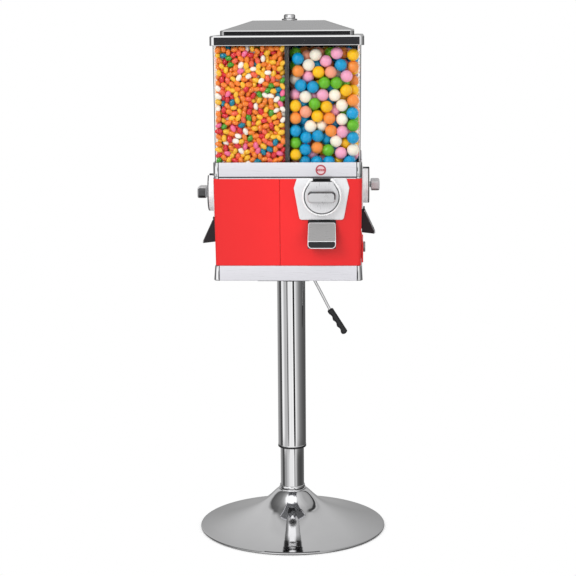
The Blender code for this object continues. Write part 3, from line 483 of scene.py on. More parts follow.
def rounded(points, radii, steps):
    """Polygon with each corner turned into an arc of its own radius."""
    out = []
    for i, radius in enumerate(radii):
        corner = Vector(points[i])
        if radius <= 0:
            out.append(tuple(corner))
            continue
        back = (Vector(points[i - 1]) - corner).normalized()
        ahead = (Vector(points[(i + 1) % len(points)]) - corner).normalized()
        half = math.acos(max(-1.0, min(1.0, back.dot(ahead)))) / 2
        cut = radius / math.tan(half)
        centre = corner + (back + ahead).normalized() * (radius / math.sin(half))
        start, end = corner + back * cut - centre, corner + ahead * cut - centre
        first = math.atan2(start.y, start.x)
        turn = math.atan2(start.x * end.y - start.y * end.x, start.dot(end))
        for k in range(steps + 1):
            angle = first + turn * k / steps
            out.append((centre.x + radius * math.cos(angle),
                        centre.y + radius * math.sin(angle)))
    return out


def box_outline(half, low, high, radii, steps):
    """Rectangle centred on x = 0; radii run from its low left corner anticlockwise."""
    return rounded([(-half, low), (half, low), (half, high), (-half, high)], radii, steps)


def attach(obj, body, slot, *nodes):
    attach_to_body(obj, body)
    if nodes:
        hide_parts(*nodes)


def add_materials(obj, *materials):
    for material in materials:
        obj.data.materials.append(material)


# ---------------------------------------------------------------- stand
def foot_disc():
    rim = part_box("base_disc")[1].x / MM
    # (radius, z) in mm, from the neck down to the rim
    top = [(29.8, 83.9), (31.6, 83.0), (35.5, 80.0), (40.6, 75.3), (46.8, 69.2), (54.0, 62.6),
           (62.0, 56.4), (73.0, 49.4), (87.0, 42.3), (103.0, 35.4), (122.0, 27.9),
           (138.0, 22.1), (154.0, 16.8), (165.0, 13.5), (176.0, 10.4), (182.0, 8.9),
           (190.0, 7.0), (197.0, 5.45)]
    edge = [(199.6, 4.7), (201.0, 4.1), (rim, 3.2), (rim, 1.9), (rim - 0.5, 1.2),
            (199.5, 1.2), (198.9, 2.6)]
    under = [(197.0, 3.6), (169.0, 10.0), (121.0, 25.6), (84.6, 40.6), (60.4, 53.4),
             (44.4, 64.4), (33.0, 76.2), (25.8, 79.0), (25.8, 83.0)]
    profile = [(r * MM, z * MM) for r, z in smooth_curve(top, steps=5) + edge + under]
    foot = lathe("foot_disc", profile, FOOT_CHROME, sides=192, closed=True, smooth=50)
    add_materials(foot, SHADE_AND_REFLECTION)
    # painted reflection: a dark arc on the upper edge at the front
    for poly in foot.data.polygons:
        x, y, z = poly.center
        radius, angle = math.hypot(x, y), math.degrees(math.atan2(x, -y))
        if abs(angle - 1.5) < 16.5 and 0.1972 < radius < 0.2006 and z > 0.0036:
            poly.material_index = 1
    attach(foot, "base", "chrome", "base_disc")


def foot_ring():
    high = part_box("floor_ring")[1]
    outer, top = high.x, high.z
    inner = outer - 0.0102
    profile = [(outer, 0.0006), (outer, top - 0.0006), (outer - 0.0006, top),
               (inner + 0.0006, top), (inner, top - 0.0006), (inner, 0.0004),
               (inner + 0.0008, 0.0), (inner + 0.003, 0.0), (inner + 0.0035, 0.0008),
               (inner + 0.005, 0.0008), (inner + 0.0055, 0.0), (outer - 0.0006, 0.0)]
    attach(lathe("foot_ring", profile, RUBBER, closed=True), "base", "floor_rubber",
           "floor_ring")


def neck_rings():
    """Two stacked rings with dark joints between them and below the lower one, painted as
    shadow.
    """
    low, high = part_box("neck_collar")
    bottom, top = low.z, high.z
    joint = bottom + (top - bottom) * 0.49
    lower, upper, bore = high.x, 0.02725, 0.0258
    profile = [(lower - 0.0010, bottom), (lower - 0.0010, bottom + 0.0008),
               (lower - 0.0002, bottom + 0.0011), (lower, bottom + 0.0018),
               (lower, joint - 0.0014), (lower - 0.0003, joint - 0.0006),
               (lower - 0.0009, joint - 0.0003), (upper + 0.0004, joint - 0.0002),
               (upper - 0.0006, joint + 0.0001), (upper - 0.0006, joint + 0.0011),
               (upper, joint + 0.0014), (upper + 0.0001, top - 0.0014),
               (upper - 0.0002, top - 0.0006), (upper - 0.0007, top), (bore, top),
               (bore, bottom)]
    collar = lathe("neck_rings", profile, CHROME, closed=True, smooth=55)
    add_materials(collar, SEAM_SHADOW)
    for poly in collar.data.polygons:
        radius, z = math.hypot(poly.center.x, poly.center.y), poly.center.z
        in_joint = bore + 0.0005 < radius < upper - 0.0004 and joint < z < joint + 0.0012
        if in_joint or (z < bottom + 0.0009 and radius > bore + 0.001):
            poly.material_index = 1
    attach(collar, "base", "chrome", "neck_collar")


def column():
    low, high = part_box("inner_tube")
    radius, bottom, top = high.x, low.z, high.z
    tube = lathe("column_inner", [
        (0, bottom), (radius - 0.0008, bottom), (radius, bottom + 0.0008), (radius, 0.11),
        (radius, 0.16), (radius, 0.22), (radius, top - 0.0006), (radius - 0.0006, top),
        (radius - 0.002, top), (radius - 0.002, bottom + 0.004), (0, bottom + 0.004)], CHROME)
    attach(tube, "base", "chrome", "inner_tube")

    low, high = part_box("outer_sleeve")
    radius, bottom, top = 0.0302, low.z, high.z
    sleeve = lathe("column_sleeve", [
        (radius, bottom), (radius + 0.0004, bottom + 0.0003),
        (radius + 0.0004, bottom + 0.0010), (radius, bottom + 0.0015),
        (radius, bottom + 0.0022), (radius, bottom + 0.02), (radius, 0.36),
        (radius, top - 0.004), (radius, top - 0.0005), (radius - 0.0005, top),
        (radius - 0.0015, top), (radius - 0.0015, bottom)], CHROME, closed=True, smooth=40)
    attach(sleeve, "head", "chrome", "outer_sleeve")

    low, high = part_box("sleeve_end_ring")
    bore, lip, outer, bottom = 0.0261, 0.0283, high.x, low.z
    end_ring = lathe("column_end_ring", [
        (bore, bottom - 0.0012), (outer - 0.0007, bottom - 0.0012),
        (outer + 0.0001, bottom - 0.0004), (outer + 0.0001, bottom + 0.0022),
        (lip, bottom + 0.0024), (lip, high.z), (bore, high.z)], BLACK, sides=96, closed=True)
    attach(end_ring, "head", "black_plastic", "sleeve_end_ring")


foot_disc()
foot_ring()
neck_rings()
column()


# ---------------------------------------------------------------- frames of the head
def frame_loft(name, profile, material, smooth):
    """Square frame from (half width, z) points in mm, corners sharing one centre."""
    line = max(half for half, _ in profile) - BAND_RADIUS
    rings = [rounded_square(half, max(0.4, min(BAND_RADIUS, half - line)), z, SEAM_WIDTH)
             for half, z in profile]
    return loft(name, rings, material, closed=True, smooth=smooth), line * MM


def band(name, profile, smooth):
    """Satin frame with chrome corner pieces and a dark joint beside each, painted as shadow."""
    obj, line = frame_loft(name, profile, BAND, smooth)
    add_materials(obj, CHROME, SEAM_SHADOW)
    for poly in obj.data.polygons:
        nearer = min(abs(poly.center.x), abs(poly.center.y))
        if nearer > line + 0.0001:
            poly.material_index = 1
        elif nearer > line - 0.0022 and poly.area > 0:
            poly.material_index = 2
    return obj


def lower_band():
    low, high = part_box("bottom_frame")
    half, bottom, top = high.x / MM + 0.9, low.z / MM, high.z / MM
    profile = [(half - 1.1, bottom), (half - 0.4, bottom + 0.25), (half, bottom + 1.1),
               (half - 0.05, bottom + 2.6), (half - 2.25, top - 1.5), (half - 2.5, top - 0.5),
               (half - 3.2, top), (half - 5.4, top), (half - 3.0, bottom + 5.0),
               (half - 3.0, bottom + 2.0), (half - 11.0, bottom + 2.0),
               (half - 11.0, bottom)]
    attach(band("lower_band", profile, smooth=50), "head", "satin_metal", "bottom_frame")


def middle_band():
    low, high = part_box("mid_frame")
    half, bottom, top = 151.0, low.z / MM, high.z / MM
    profile = [(half - 0.7, bottom - 2.0), (half - 0.1, bottom - 1.8),
               (half + 0.3, bottom - 1.2), (half + 0.3, bottom - 0.2),
               (half + 0.1, bottom + 0.2), (half - 1.2, bottom + 0.4),
               (half - 1.4, bottom + 0.9), (half - 1.3, bottom + 2.4),
               (half - 0.5, bottom + 2.7), (half - 0.1, bottom + 3.2), (half, bottom + 4.0),
               (half, top - 0.9), (half - 0.2, top - 0.35), (half - 0.7, top),
               (half - 3.0, top), (half - 3.5, top - 0.8), (half - 3.5, bottom + 3.5),
               (half - 13.0, bottom + 3.5), (half - 13.0, bottom + 1.7),
               (half - 3.8, bottom + 1.7), (half - 3.8, bottom), (half - 0.9, bottom)]
    obj = band("middle_band", profile, smooth=40)
    # painted shadow: the groove above the lower bead is dark, except at the corner pieces
    for poly in obj.data.polygons:
        x, y, z = poly.center
        in_groove = ((bottom + 0.25) * MM < z < (bottom + 2.6) * MM
                     and max(abs(x), abs(y)) > (half - 1.6) * MM)
        if poly.material_index != 1 and in_groove:
            poly.material_index = 2
    attach(obj, "head", "satin_metal", "mid_frame")


def upper_frame():
    low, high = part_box("top_frame")
    half, bottom, top = high.x / MM + 1.1, low.z / MM, high.z / MM
    profile = [(half - 0.5, bottom - 0.6), (half - 0.15, bottom - 0.48),
               (half, bottom - 0.15), (half, bottom + 0.8), (half, top - 3.4),
               (half, top - 2.4), (half - 0.25, top - 1.5), (half - 0.8, top - 0.7),
               (half - 1.8, top), (half - 24.0, top), (half - 24.0, top - 2.0),
               (half - 5.9, top - 5.0), (half - 5.4, bottom)]
    obj, _ = frame_loft("upper_frame", profile, CHROME, smooth=40)
    attach(obj, "head", "chrome", "top_frame")


def clear_hopper():
    low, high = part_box("globe")
    bottom_half, top_half, wall = 147.2, 148.9, 2
    bottom, top = low.z / MM, high.z / MM
    rings = [rounded_square(bottom_half, 9, bottom), rounded_square(top_half, 9, top),
             rounded_square(top_half - wall, 7, top),
             rounded_square(bottom_half - wall, 7, bottom)]
    shell = loft("clear_hopper", rings, CLEAR, closed=True, smooth=40)
    attach(shell, "head", "clear_plastic", "globe")


def lid():
    """Pressed sheet with a rolled rim and a hipped slope, open round the lock."""
    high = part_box("lid")[1]
    rim, top = high.x / MM + 0.8, high.z / MM + 0.6
    skirt, shelf = 1065.65, 1076.0  # z of the rim's lower edge and of its top
    hole = 12.3
    # (half width, corner radius, z) in mm, over the top, round the rim and back inside
    rings = [(40, 5, top), (71.5, 6, top), (73.4, 6, top - 0.25), (75.0, 6.4, top - 0.8),
             (103, 7.5, top - 10.0), (129.8, 8.8, shelf + 0.7), (131.6, 9, shelf + 0.2),
             (rim - 1.4, 9, shelf - 0.1), (rim - 0.4, 9, shelf - 0.7), (rim, 9, shelf - 1.7),
             (rim, 9, shelf - 2.4), (rim, 9, skirt + 1.0), (rim, 9, skirt + 0.4),
             (rim - 0.1, 9, skirt + 0.1), (rim - 0.5, 9, skirt), (128.8, 7, skirt),
             (128.8, 7, skirt - 5.4), (126.8, 6, skirt - 5.4), (126.8, 6, shelf - 2.6),
             (72, 5, top - 2.0)]
    shell = loft("lid_shell", [circle_ring(hole, top)] + [rounded_square(*r) for r in rings]
                 + [circle_ring(hole, top - 2.0)], LID, closed=True, smooth=40)
    add_materials(shell, CHROME, PAINTED_DARK_CHROME)
    # painted reflection: the rim's upright face gets the dark chrome, its rounds plain chrome
    for poly in shell.data.polygons:
        x, y, z = poly.center
        reach = max(abs(x), abs(y))
        if z < (shelf + 0.8) * MM and reach > 0.1285:
            upright = ((skirt + 0.2) * MM < z < (shelf - 2.0) * MM
                       and reach > (rim - 2.0) * MM)
            poly.material_index = 2 if upright else 1
    attach(shell, "lid", "brushed_metal", "lid")

    seat = high.z + 0.0005
    lock = lathe("lid_lock_barrel", [
        (0.006, 1.072), (0.0118, 1.072), (0.0118, seat + 0.0004), (0.0155, seat + 0.0004),
        (0.016, seat + 0.001), (0.016, seat + 0.0026), (0.0154, seat + 0.0033),
        (0.0128, seat + 0.0036), (0.0118, seat + 0.0042), (0.0118, seat + 0.0095),
        (0.0112, seat + 0.0112), (0.0096, seat + 0.0124), (0.0066, seat + 0.0127),
        (0.006, seat + 0.0122)], POLISHED, sides=64, closed=True, smooth=50)
    attach(lock, "lid", "chrome", "lid_lock_body")


lower_band()
middle_band()
upper_frame()
clear_hopper()
lid()


# ---------------------------------------------------------------- lever
def lever_bar():
    level = 0.5638
    # (x, z): level out of the column, then bent down
    path = [(-0.002, level), (0.031, level), (0.0345, level - 0.0003),
            (0.0378, level - 0.0014), (0.0408, level - 0.0034), (0.0434, level - 0.0062),
            (0.0457, level - 0.0098), (0.052, 0.5422), (0.066, 0.5154), (0.0785, 0.4905),
            (0.0812, 0.4853), (0.084, 0.4806), (0.1028, 0.451)]
    rod = sweep("lever_bar", [Vector((x, 0, z)) for x, z in path], 0.003, POLISHED, sides=20)
    attach(rod, "lever", "chrome", "lever_rod")


def lever_handle():
    """Round-ended grip with three finger hollows on its lower side."""
    start, end = Vector((0.0825, 0, 0.483)), Vector((0.116, 0, 0.430))
    radius, neck, hollow = 7.0, 3.9, 2.5  # mm: grip, its upper end, depth of a hollow
    stations, sides = 56, 28
    length = (end - start).length
    along = (end - start).normalized()
    side = Vector((0, 1, 0))
    below = side.cross(along).normalized()
    rings = []
    for i in range(stations + 1):
        t = i / stations
        size, dent = radius, 0.0
        if t < 0.06:
            size = neck + (radius - neck) * math.sqrt(max(0.0, 1 - (1 - t / 0.06) ** 2))
        if t > 0.93:
            size = radius * math.sqrt(max(0.03, 1 - ((t - 0.93) / 0.0735) ** 2))
        if 0.12 < t < 0.90:
            finger = (t - 0.12) / 0.78 * 3.0
            dent = hollow * (math.sin(math.pi * (finger % 1.0)) ** 1.5)
        ring = []
        for k in range(sides):
            angle = 2 * math.pi * k / sides
            reach = (size - dent * max(0.0, math.cos(angle)) ** 0.8) * MM
            ring.append(start + along * (length * t)
                        + (below * math.cos(angle) + side * math.sin(angle)) * reach)
        rings.append(ring)
    grip = loft("lever_handle", rings, BLACK, smooth=60)
    attach(grip, "lever", "black_plastic", "lever_grip")


lever_bar()
lever_handle()

# ---------------------------------------------------------------- coin mechanisms
# Maps (across, up, out) to the front side's (x, -y, z).
FACE = Matrix(((1, 0, 0, 0), (0, 0, -1, 0), (0, 1, 0, 0), (0, 0, 0, 1)))
LATHE_ALONG_X = Matrix(((0, 0, 1, 0), (1, 0, 0, 0), (0, 1, 0, 0), (0, 0, 0, 1)))


def mech_ring(turn, points, out):
    """Outline in mm about the mechanism's centre, at a distance out from the axis."""
    return [turn @ (FACE @ Vector(((MECH_X + x) * MM, (MECH_Z + z) * MM, out * MM)))
            for x, z in points]


def backing_outline(inset):
    points = [(-50.4 + inset * 0.9, 36.0 - inset), (-57.0 + inset, 16),
              (-45.2 + inset, -49 + inset), (44.0 - inset, -49 + inset),
              (55.8 - inset, 16), (49.4 - inset * 0.9, 36.0 - inset)]
    return rounded(points, [1.2, 5.0, 6.0, 6.0, 5.0, 1.2], steps=5)


def dial_outline(radius, top, half_top):
    """Circle with a flat-topped brow."""
    steps, shoulder = 56, 4.2
    points = []
    for i in range(steps + 1):
        angle = math.radians(-205 + 230.0 * i / steps)
        points.append((radius * math.cos(angle), radius * math.sin(angle)))
    brow = [(half_top + shoulder, top - shoulder * 1.1),
            (half_top + shoulder * 0.5, top - shoulder * 0.32), (half_top, top)]
    return points + brow + [(-x, z) for x, z in reversed(brow)]


def backing_plate(tag, turn):
    # (inset, distance out)
    steps = [(0.0, 151.4), (0.0, 152.6), (0.5, 153.4), (1.3, 153.9)]
    rings = [mech_ring(turn, backing_outline(inset), out) for inset, out in steps]
    obj = loft("mech_plate_" + tag, rings, BACKING, smooth=28)
    attach(obj, "head", "satin_metal")


# (radius, top of the brow, half its flat, height above the wall): the side, the
# rounded shoulder, a groove, the flat dial and a well at its centre
HOUSING = [(40.0, 35.9, 22.6, 4.0), (40.0, 35.9, 22.6, 14.8), (39.8, 35.8, 22.5, 16.5),
           (39.3, 35.5, 22.3, 17.6), (38.5, 35.0, 22.0, 18.1), (37.4, 34.0, 21.6, 18.2),
           (36.5, 32.4, 21.1, 18.1), (36.1, 31.6, 20.9, 17.6), (36.0, 31.4, 20.9, 16.2),
           (34.2, 29.4, 20.6, 16.2), (34.1, 29.2, 20.6, 16.9), (33.8, 28.9, 20.5, 17.2),
           (33.2, 28.0, 20.4, 17.3), (8.0, 7.4, 3.4, 17.3), (6.6, 6.1, 2.6, 17.3),
           (6.6, 6.1, 2.6, 9.0)]
SLOT_HALF, SLOT_LOW, SLOT_FLOOR = 18, 30.6, 4.6  # coin slot; its floor is above the wall


def cut_slot(housing, place):
    """Cut the coin slot down through the brow and apply it to the mesh."""
    outline = box_outline(SLOT_HALF, SLOT_LOW, 42, [1.6, 1.6, 0, 0], steps=3)
    cutter = plate("cut", outline, [], WALL + SLOT_FLOOR, WALL + 30, DARK, place)
    modifier = housing.modifiers.new("slot", "BOOLEAN")
    modifier.operation, modifier.solver = "DIFFERENCE", "EXACT"
    modifier.object = cutter
    bpy.context.view_layer.update()
    evaluated = housing.evaluated_get(bpy.context.evaluated_depsgraph_get())
    mesh = bpy.data.meshes.new_from_object(evaluated)
    housing.modifiers.clear()
    housing.data = mesh
    bpy.data.objects.remove(cutter)


def mech_housing(tag, turn, place):
    rings = [mech_ring(turn, dial_outline(radius, top, half), WALL + height)
             for radius, top, half, height in HOUSING]
    housing = loft("mech_housing_" + tag, rings, MECH, smooth=40)
    cut_slot(housing, place)
    mark_sharp(housing.data, 40)
    housing.data.materials.clear()
    add_materials(housing, MECH, SHADE_AND_REFLECTION, DARK, PAINTED_HIGHLIGHT)
    # painted shade: near black on the slot's walls and floor, dark grey in the ring groove;
    # painted highlight on top of the shoulder
    to_face = place.inverted()
    for poly in housing.data.polygons:
        x, y, out = (to_face @ poly.center) * 1000
        facing = (to_face.to_3x3() @ poly.normal).z
        height = out - WALL
        away = math.hypot(x, y)
        in_width = abs(x) < SLOT_HALF + 0.1
        slot_wall = (in_width and y > SLOT_LOW - 0.1 and abs(facing) < 0.9 and height > 4.7
                     and (abs(abs(x) - SLOT_HALF) < 0.2 or abs(y - SLOT_LOW) < 0.2))
        slot_floor = height < 4.7 and facing > 0.9 and in_width
        if slot_wall or slot_floor:
            poly.material_index = 2
        elif 16.0 < height < 17.45 and away < 36.1 and (facing < 0.5 or height < 16.5):
            poly.material_index = 1
        elif height > 17.5 and away > 30.0:
            poly.material_index = 3
        elif height < 17.1 and away > 36.5:
            # the curve into the shoulder has a painted highlight at the front and back and low
            # down, painted shade higher up on the right and left sides
            poly.material_index = 3 if tag in ("front", "back") or height < 15.4 else 1
    attach(housing, "head", "satin_metal", "faceplate_" + tag)


def coin_entry(tag, place):
    """Dark liner in the slot between the housing's shoulders."""
    outer = box_outline(17.7, 30.9, 35.2, [1.3] * 4, steps=4)
    hole = box_outline(13.5, 31.7, 34.4, [0.8] * 4, steps=3)
    liner = plate("coin_entry_" + tag, outer, [hole], WALL + 4.9, WALL + 12.2, DARK, place,
                  bevel=0.0003)
    attach(liner, "head", "black_plastic")


def turn_handle(tag, place):
    back, front = WALL + 20.8, WALL + 39.8
    half_width, half_height = 28.0, 11.25
    # (distance out, inset, corner radius)
    stations = [(back, 2.2, 5.6), (back + 0.5, 0.9, 6.4), (back + 1.6, 0.15, 6.9),
                (back + 3.0, 0.0, 7.0), (front - 4.2, 0.0, 7.0), (front - 2.2, 0.3, 6.9),
                (front - 0.9, 1.2, 6.3), (front - 0.2, 2.6, 5.4), (front, 4.2, 4.4)]
    rings = []
    for out, inset, radius in stations:
        high = half_height - inset
        outline = box_outline(half_width - inset, -high, high, [radius] * 4, steps=7)
        rings.append([place @ Vector((x * MM, z * MM, out * MM)) for x, z in outline])
    knob = loft("turn_handle_" + tag, rings, HANDLE, smooth=45)
    # Painted shade: the front handle's top and upper right faces and the left handle's right
    # side get dark metal, the other handles' undersides the flap's darker satin.
    add_materials(knob, PAINTED_SHADE, FLAP)
    to_face = place.inverted()
    for poly in knob.data.polygons:
        normal, centre = to_face.to_3x3() @ poly.normal, to_face @ poly.center
        upper = normal.y > 0.2 or (normal.x > 0.2 and centre.y > -0.002)
        if tag == "front" and normal.z < 0.97 and upper:
            poly.material_index = 1
        elif tag == "left" and normal.x > 0.7 and abs(normal.z) < 0.5:
            poly.material_index = 1
        elif tag != "front" and normal.y < -0.5:
            poly.material_index = 2
    attach(knob, "handle_" + tag, "satin_metal", "handle_" + tag)

    wall = WALL * MM
    neck = lathe("turn_neck_" + tag, [
        (0, 0.1155), (0.004, 0.1155), (0.004, wall + 0.0140), (0.0058, wall + 0.0145),
        (0.0062, wall + 0.0165), (0.0052, wall + 0.0172), (0.0052, wall + 0.0180),
        (0.0062, wall + 0.0187), (0.0062, wall + 0.0212), (0, wall + 0.0212)],
        FLAP, sides=48, frame=place)
    attach(neck, "handle_" + tag, "satin_metal")


def flap_outline(half, top, bottom, top_radius, bottom_radius, steps):
    """Outline that widens by 1 or less down to y = 40, then runs straight."""
    top_half = half - (1.0 if half == FLAP_HALF else 0.9)
    return rounded([(-top_half, top), (top_half, top), (half, 40), (half, bottom),
                    (-half, bottom), (-half, 40)],
                   [top_radius, top_radius, 0, bottom_radius, bottom_radius, 0], steps)


def flap(tag, turn):
    """Sloping plate with a raised rim, a finger slot and a hinge roll along its top."""
    down = Vector((0.0, FLAP_TOP[0] - FLAP_FOOT[0], FLAP_FOOT[1] - FLAP_TOP[1])).normalized()
    # x across, y down the slope, z outwards from it
    slope = Matrix(((1, 0, 0, MECH_X * MM), (0, down.y, down.z, -FLAP_TOP[0] * MM),
                    (0, down.z, -down.y, FLAP_TOP[1] * MM), (0, 0, 0, 1)))
    place = turn @ slope
    body = "flap_" + tag

    rim = plate("flap_rim_" + tag, flap_outline(FLAP_HALF, 4.4, 59.4, 4.0, 8.5, steps=7),
                [flap_outline(FLAP_HALF - 1.1, 5.5, 43.6, 3.4, 2.4, steps=6),
                 box_outline(FLAP_HALF - 1.5, 45.0, 58.0, [2.6, 2.6, 7.0, 7.0], steps=7)],
                0.5, 2.2, MECH, place, bevel=0.0004, segments=3)
    add_materials(rim, PAINTED_SHADE)
    # painted shade on the rim's left and right side faces
    to_slope = place.inverted().to_3x3()
    for poly in rim.data.polygons:
        if abs((to_slope @ poly.normal).x) > 0.9:
            poly.material_index = 1
    attach(rim, body, "satin_metal")

    panel = plate("flap_plate_" + tag,
                  flap_outline(FLAP_HALF - 0.8, 5.1, 44.2, 3.0, 2.4, steps=6), [],
                  0.6, 2.0, FLAP, place, bevel=0.0002)
    attach(panel, body, "brushed_metal", "flap_" + tag)

    leaf = plate("flap_hinge_leaf_" + tag,
                 box_outline(FLAP_HALF - 1.0, 1.6, 5.4, [1.2, 1.2, 0, 0], steps=4), [],
                 0.5, 1.6, DARK, place, bevel=0.0002)
    attach(leaf, body, "black_plastic")

    end = FLAP_HALF * MM
    centre = slope @ Vector((0, 0.0022, 0.0022))
    roll = lathe("flap_roll_" + tag, [
        (0, -end + 0.002), (0.0013, -end + 0.002), (0.0016, -end + 0.0024),
        (0.0016, end - 0.0024), (0.0013, end - 0.002), (0, end - 0.002)],
        DARK, sides=24, frame=turn @ Matrix.Translation(centre) @ LATHE_ALONG_X)
    attach(roll, body, "brushed_metal")

    # dark ground seen through the finger slot
    recess = plate("flap_recess_" + tag,
                   box_outline(FLAP_HALF - 0.9, 44.0, 58.8, [2.6, 2.6, 7.8, 7.8], steps=6),
                   [], -0.4, 0.4, DARK, place)
    attach(recess, body, "black_plastic")


for k, tag in enumerate(SIDES):
    turn = Matrix.Rotation(math.radians(90 * k), 4, "Z")
    place = turn @ FACE @ Matrix.Translation((MECH_X * MM, MECH_Z * MM, 0))
    backing_plate(tag, turn)
    mech_housing(tag, turn, place)
    coin_entry(tag, place)
    turn_handle(tag, place)
    flap(tag, turn)


def badge():
    """Enamel disc with a pale middle and a bar pierced by three ovals."""
    place = FACE @ Matrix.Translation(((MECH_X - 2.0) * MM, 797.2 * MM, 0))
    enamel = moulded("badge_enamel", srgb(186, 70, 82), rough=0.3, grain=300.0, bump=0.03,
                     coat=0.2)
    pale = moulded("badge_pale", srgb(236, 205, 208), rough=0.3, grain=300.0, bump=0.03,
                   coat=0.2)
    disc = lathe("badge_disc", [
        (0, 0.1504), (0.0104, 0.1504), (0.0107, 0.1507), (0.0107, 0.1513), (0.0103, 0.1516),
        (0.0080, 0.15165), (0.0078, 0.1514), (0, 0.1514)],
        enamel, sides=64, frame=place, smooth=30)
    add_materials(disc, pale)
    centre = place @ Vector((0, 0, 0.151))
    for poly in disc.data.polygons:
        offset = poly.center - centre
        if math.hypot(offset.x, offset.z) < 0.0077 and poly.center.y < -0.1512:
            poly.material_index = 1
    attach(disc, "head", "badge_enamel", "badge")

    angles = [math.pi * k / 6 for k in range(12)]
    ovals = [[(1.5 * math.cos(a) + x, 0.9 * math.sin(a)) for a in angles]
             for x in (-4.0, 0.0, 4.0)]
    bar = plate("badge_bar", box_outline(7.6, -2.1, 2.1, [1.2] * 4, steps=5), ovals,
                151.2, 151.72, enamel, place, bevel=0.0001)
    attach(bar, "head", "badge_enamel")


badge()


# ---------------------------------------------------------------- CAD pieces that stay
def dress(node, material, bevel=0.0):
    obj = NODES[node]
    obj.data.materials.clear()
    obj.data.materials.append(material)
    for poly in obj.data.polygons:
        poly.use_smooth = True
    obj.modifiers.new("weld", "WELD").merge_threshold = 1e-6
    if bevel > 0:
        edge = obj.modifiers.new("edge", "BEVEL")
        edge.width, edge.segments = bevel, 2
        edge.limit_method, edge.angle_limit = "ANGLE", math.radians(40)
    normals = obj.modifiers.new("normals", "WEIGHTED_NORMAL")
    if bevel == 0:
        normals.mode = "FACE_AREA_WITH_ANGLE"


for side in SIDES:
    dress("panel_" + side, RED, bevel=0.0003)
    dress("chute_" + side, CHUTE, bevel=0.0006)
    dress("wheel_" + side, WHITE, bevel=0.0004)
    dress("gear_" + side, ZINC, bevel=0.0004)
dress("cash_door", RED, bevel=0.0006)
dress("door_lock_body", FLAP, bevel=0.0003)
dress("divider", SMOKE, bevel=0.0003)
dress("floor_pan", ZINC, bevel=0.0004)
dress("mount_plate", STEEL, bevel=0.0003)
for node, material in {
        "door_lock_plug": CHROME, "lid_lock_plug": CHROME, "hopper_floor": BAND,
        "gas_cylinder": STEEL, "piston_rod": CHROME, "guide_bush": BLACK,
        "thrust_bearing": ZINC, "tie_rod": ZINC, "valve_button": ZINC}.items():
    dress(node, material)

# ---------------------------------------------------------------- sweets
OVERLAP_PUSH = 0.9   # share of each overlap corrected in a step
LONGEST_PUSH = 0.5   # longest move in a step, in radii
SETTLE = 0.012       # first downward drift, in radii
SETTLE_SHARE = 0.7   # share of the steps over which the drift fades out
BLOCK_MARGIN = 0.2   # clearance held round the block, in radii
BLOCK_PULL = 0.5     # share of the way back to the block's face in a step


def overlap_push(points, radius, low, dims, rng):
    """Sum of the pushes that part overlapping spheres, found through a grid of cells."""
    key = np.floor((points - low) / (2 * radius)).astype(np.int64)
    cell = (key[:, 0] * dims[1] + key[:, 1]) * dims[2] + key[:, 2]
    order = np.argsort(cell, kind="stable")
    cells = cell[order]
    push = np.zeros_like(points)
    for dx, dy, dz in product((-1, 0, 1), repeat=3):
        want = cell + (dx * dims[1] + dy) * dims[2] + dz
        first = np.searchsorted(cells, want, "left")
        last = np.searchsorted(cells, want, "right")
        for j in range(int((last - first).max(initial=0))):
            valid = first + j < last
            one = np.nonzero(valid)[0]
            other = order[(first + j)[valid]]
            gap = points[one] - points[other]
            dist = np.linalg.norm(gap, axis=1)
            hit = (dist < 2 * radius) & (one != other)
            if hit.any():
                one, gap, dist = one[hit], gap[hit], dist[hit]
                stray = rng.normal(size=gap.shape) * 1e-4
                gap = np.where(dist[:, None] < 1e-6, stray, gap)
                dist = np.maximum(dist, 1e-6)
                np.add.at(push, one,
                          gap / dist[:, None] * ((2 * radius - dist) * 0.5)[:, None])
    return push


def leave_block(points, radius, low, high):
    """Draw points inside the block towards its nearest upright face."""
    margin = radius * BLOCK_MARGIN
    inside = np.all((points > low - margin) & (points < high + margin), axis=1)
    x, y = points[:, 0], points[:, 1]
    nearest = np.stack([x - low[0], high[0] - x, y - low[1], high[1] - y], 1).argmin(1)
    for side, (axis, face) in enumerate(((0, low[0]), (0, high[0]), (1, low[1]),
                                         (1, high[1]))):
        mask = inside & (nearest == side)
        points[mask, axis] += (face - points[mask, axis]) * BLOCK_PULL


def pack(count, radius, low, high, steps, seed, block=None):
    """Random packing of equal spheres in a box, kept out of an inner block."""
    rng = np.random.default_rng(seed)
    low, high = np.array(low), np.array(high)
    points = rng.uniform(low + radius, high - radius, (count * 3, 3))
    if block is not None:
        block = [np.array(corner) for corner in block]
        points = points[~np.all((points > block[0]) & (points < block[1]), axis=1)]
    points = points[:count]
    dims = np.ceil((high - low) / (2 * radius)).astype(np.int64) + 2
    for step in range(steps):
        push = overlap_push(points, radius, low, dims, rng)
        size = np.linalg.norm(push, axis=1, keepdims=True)
        push *= np.minimum(1.0, radius * LONGEST_PUSH / np.maximum(size, 1e-9))
        points = points + push * OVERLAP_PUSH
        points[:, 2] -= radius * SETTLE * max(0.0, 1 - step / (steps * SETTLE_SHARE))
        if block is not None:
            leave_block(points, radius, *block)
        points = np.clip(points, low + radius, high - radius)
    return points


def ball_mesh(around, down):
    """Unit sphere with poles on Z."""
    verts, faces = [(0, 0, 1.0)], []
    for i in range(1, down):
        for j in range(around):
            a, b = math.pi * i / down, 2 * math.pi * j / around
            verts.append((math.sin(a) * math.cos(b), math.sin(a) * math.sin(b), math.cos(a)))
    verts.append((0, 0, -1.0))
    last = len(verts) - 1
    foot = 1 + (down - 2) * around
    for j in range(around):
        following = (j + 1) % around
        faces.append((0, 1 + j, 1 + following))
        for i in range(down - 2):
            a, b = 1 + i * around + j, 1 + i * around + following
            faces.append((a, a + around, b + around, b))
        faces.append((last, foot + following, foot + j))
    return np.array(verts), faces


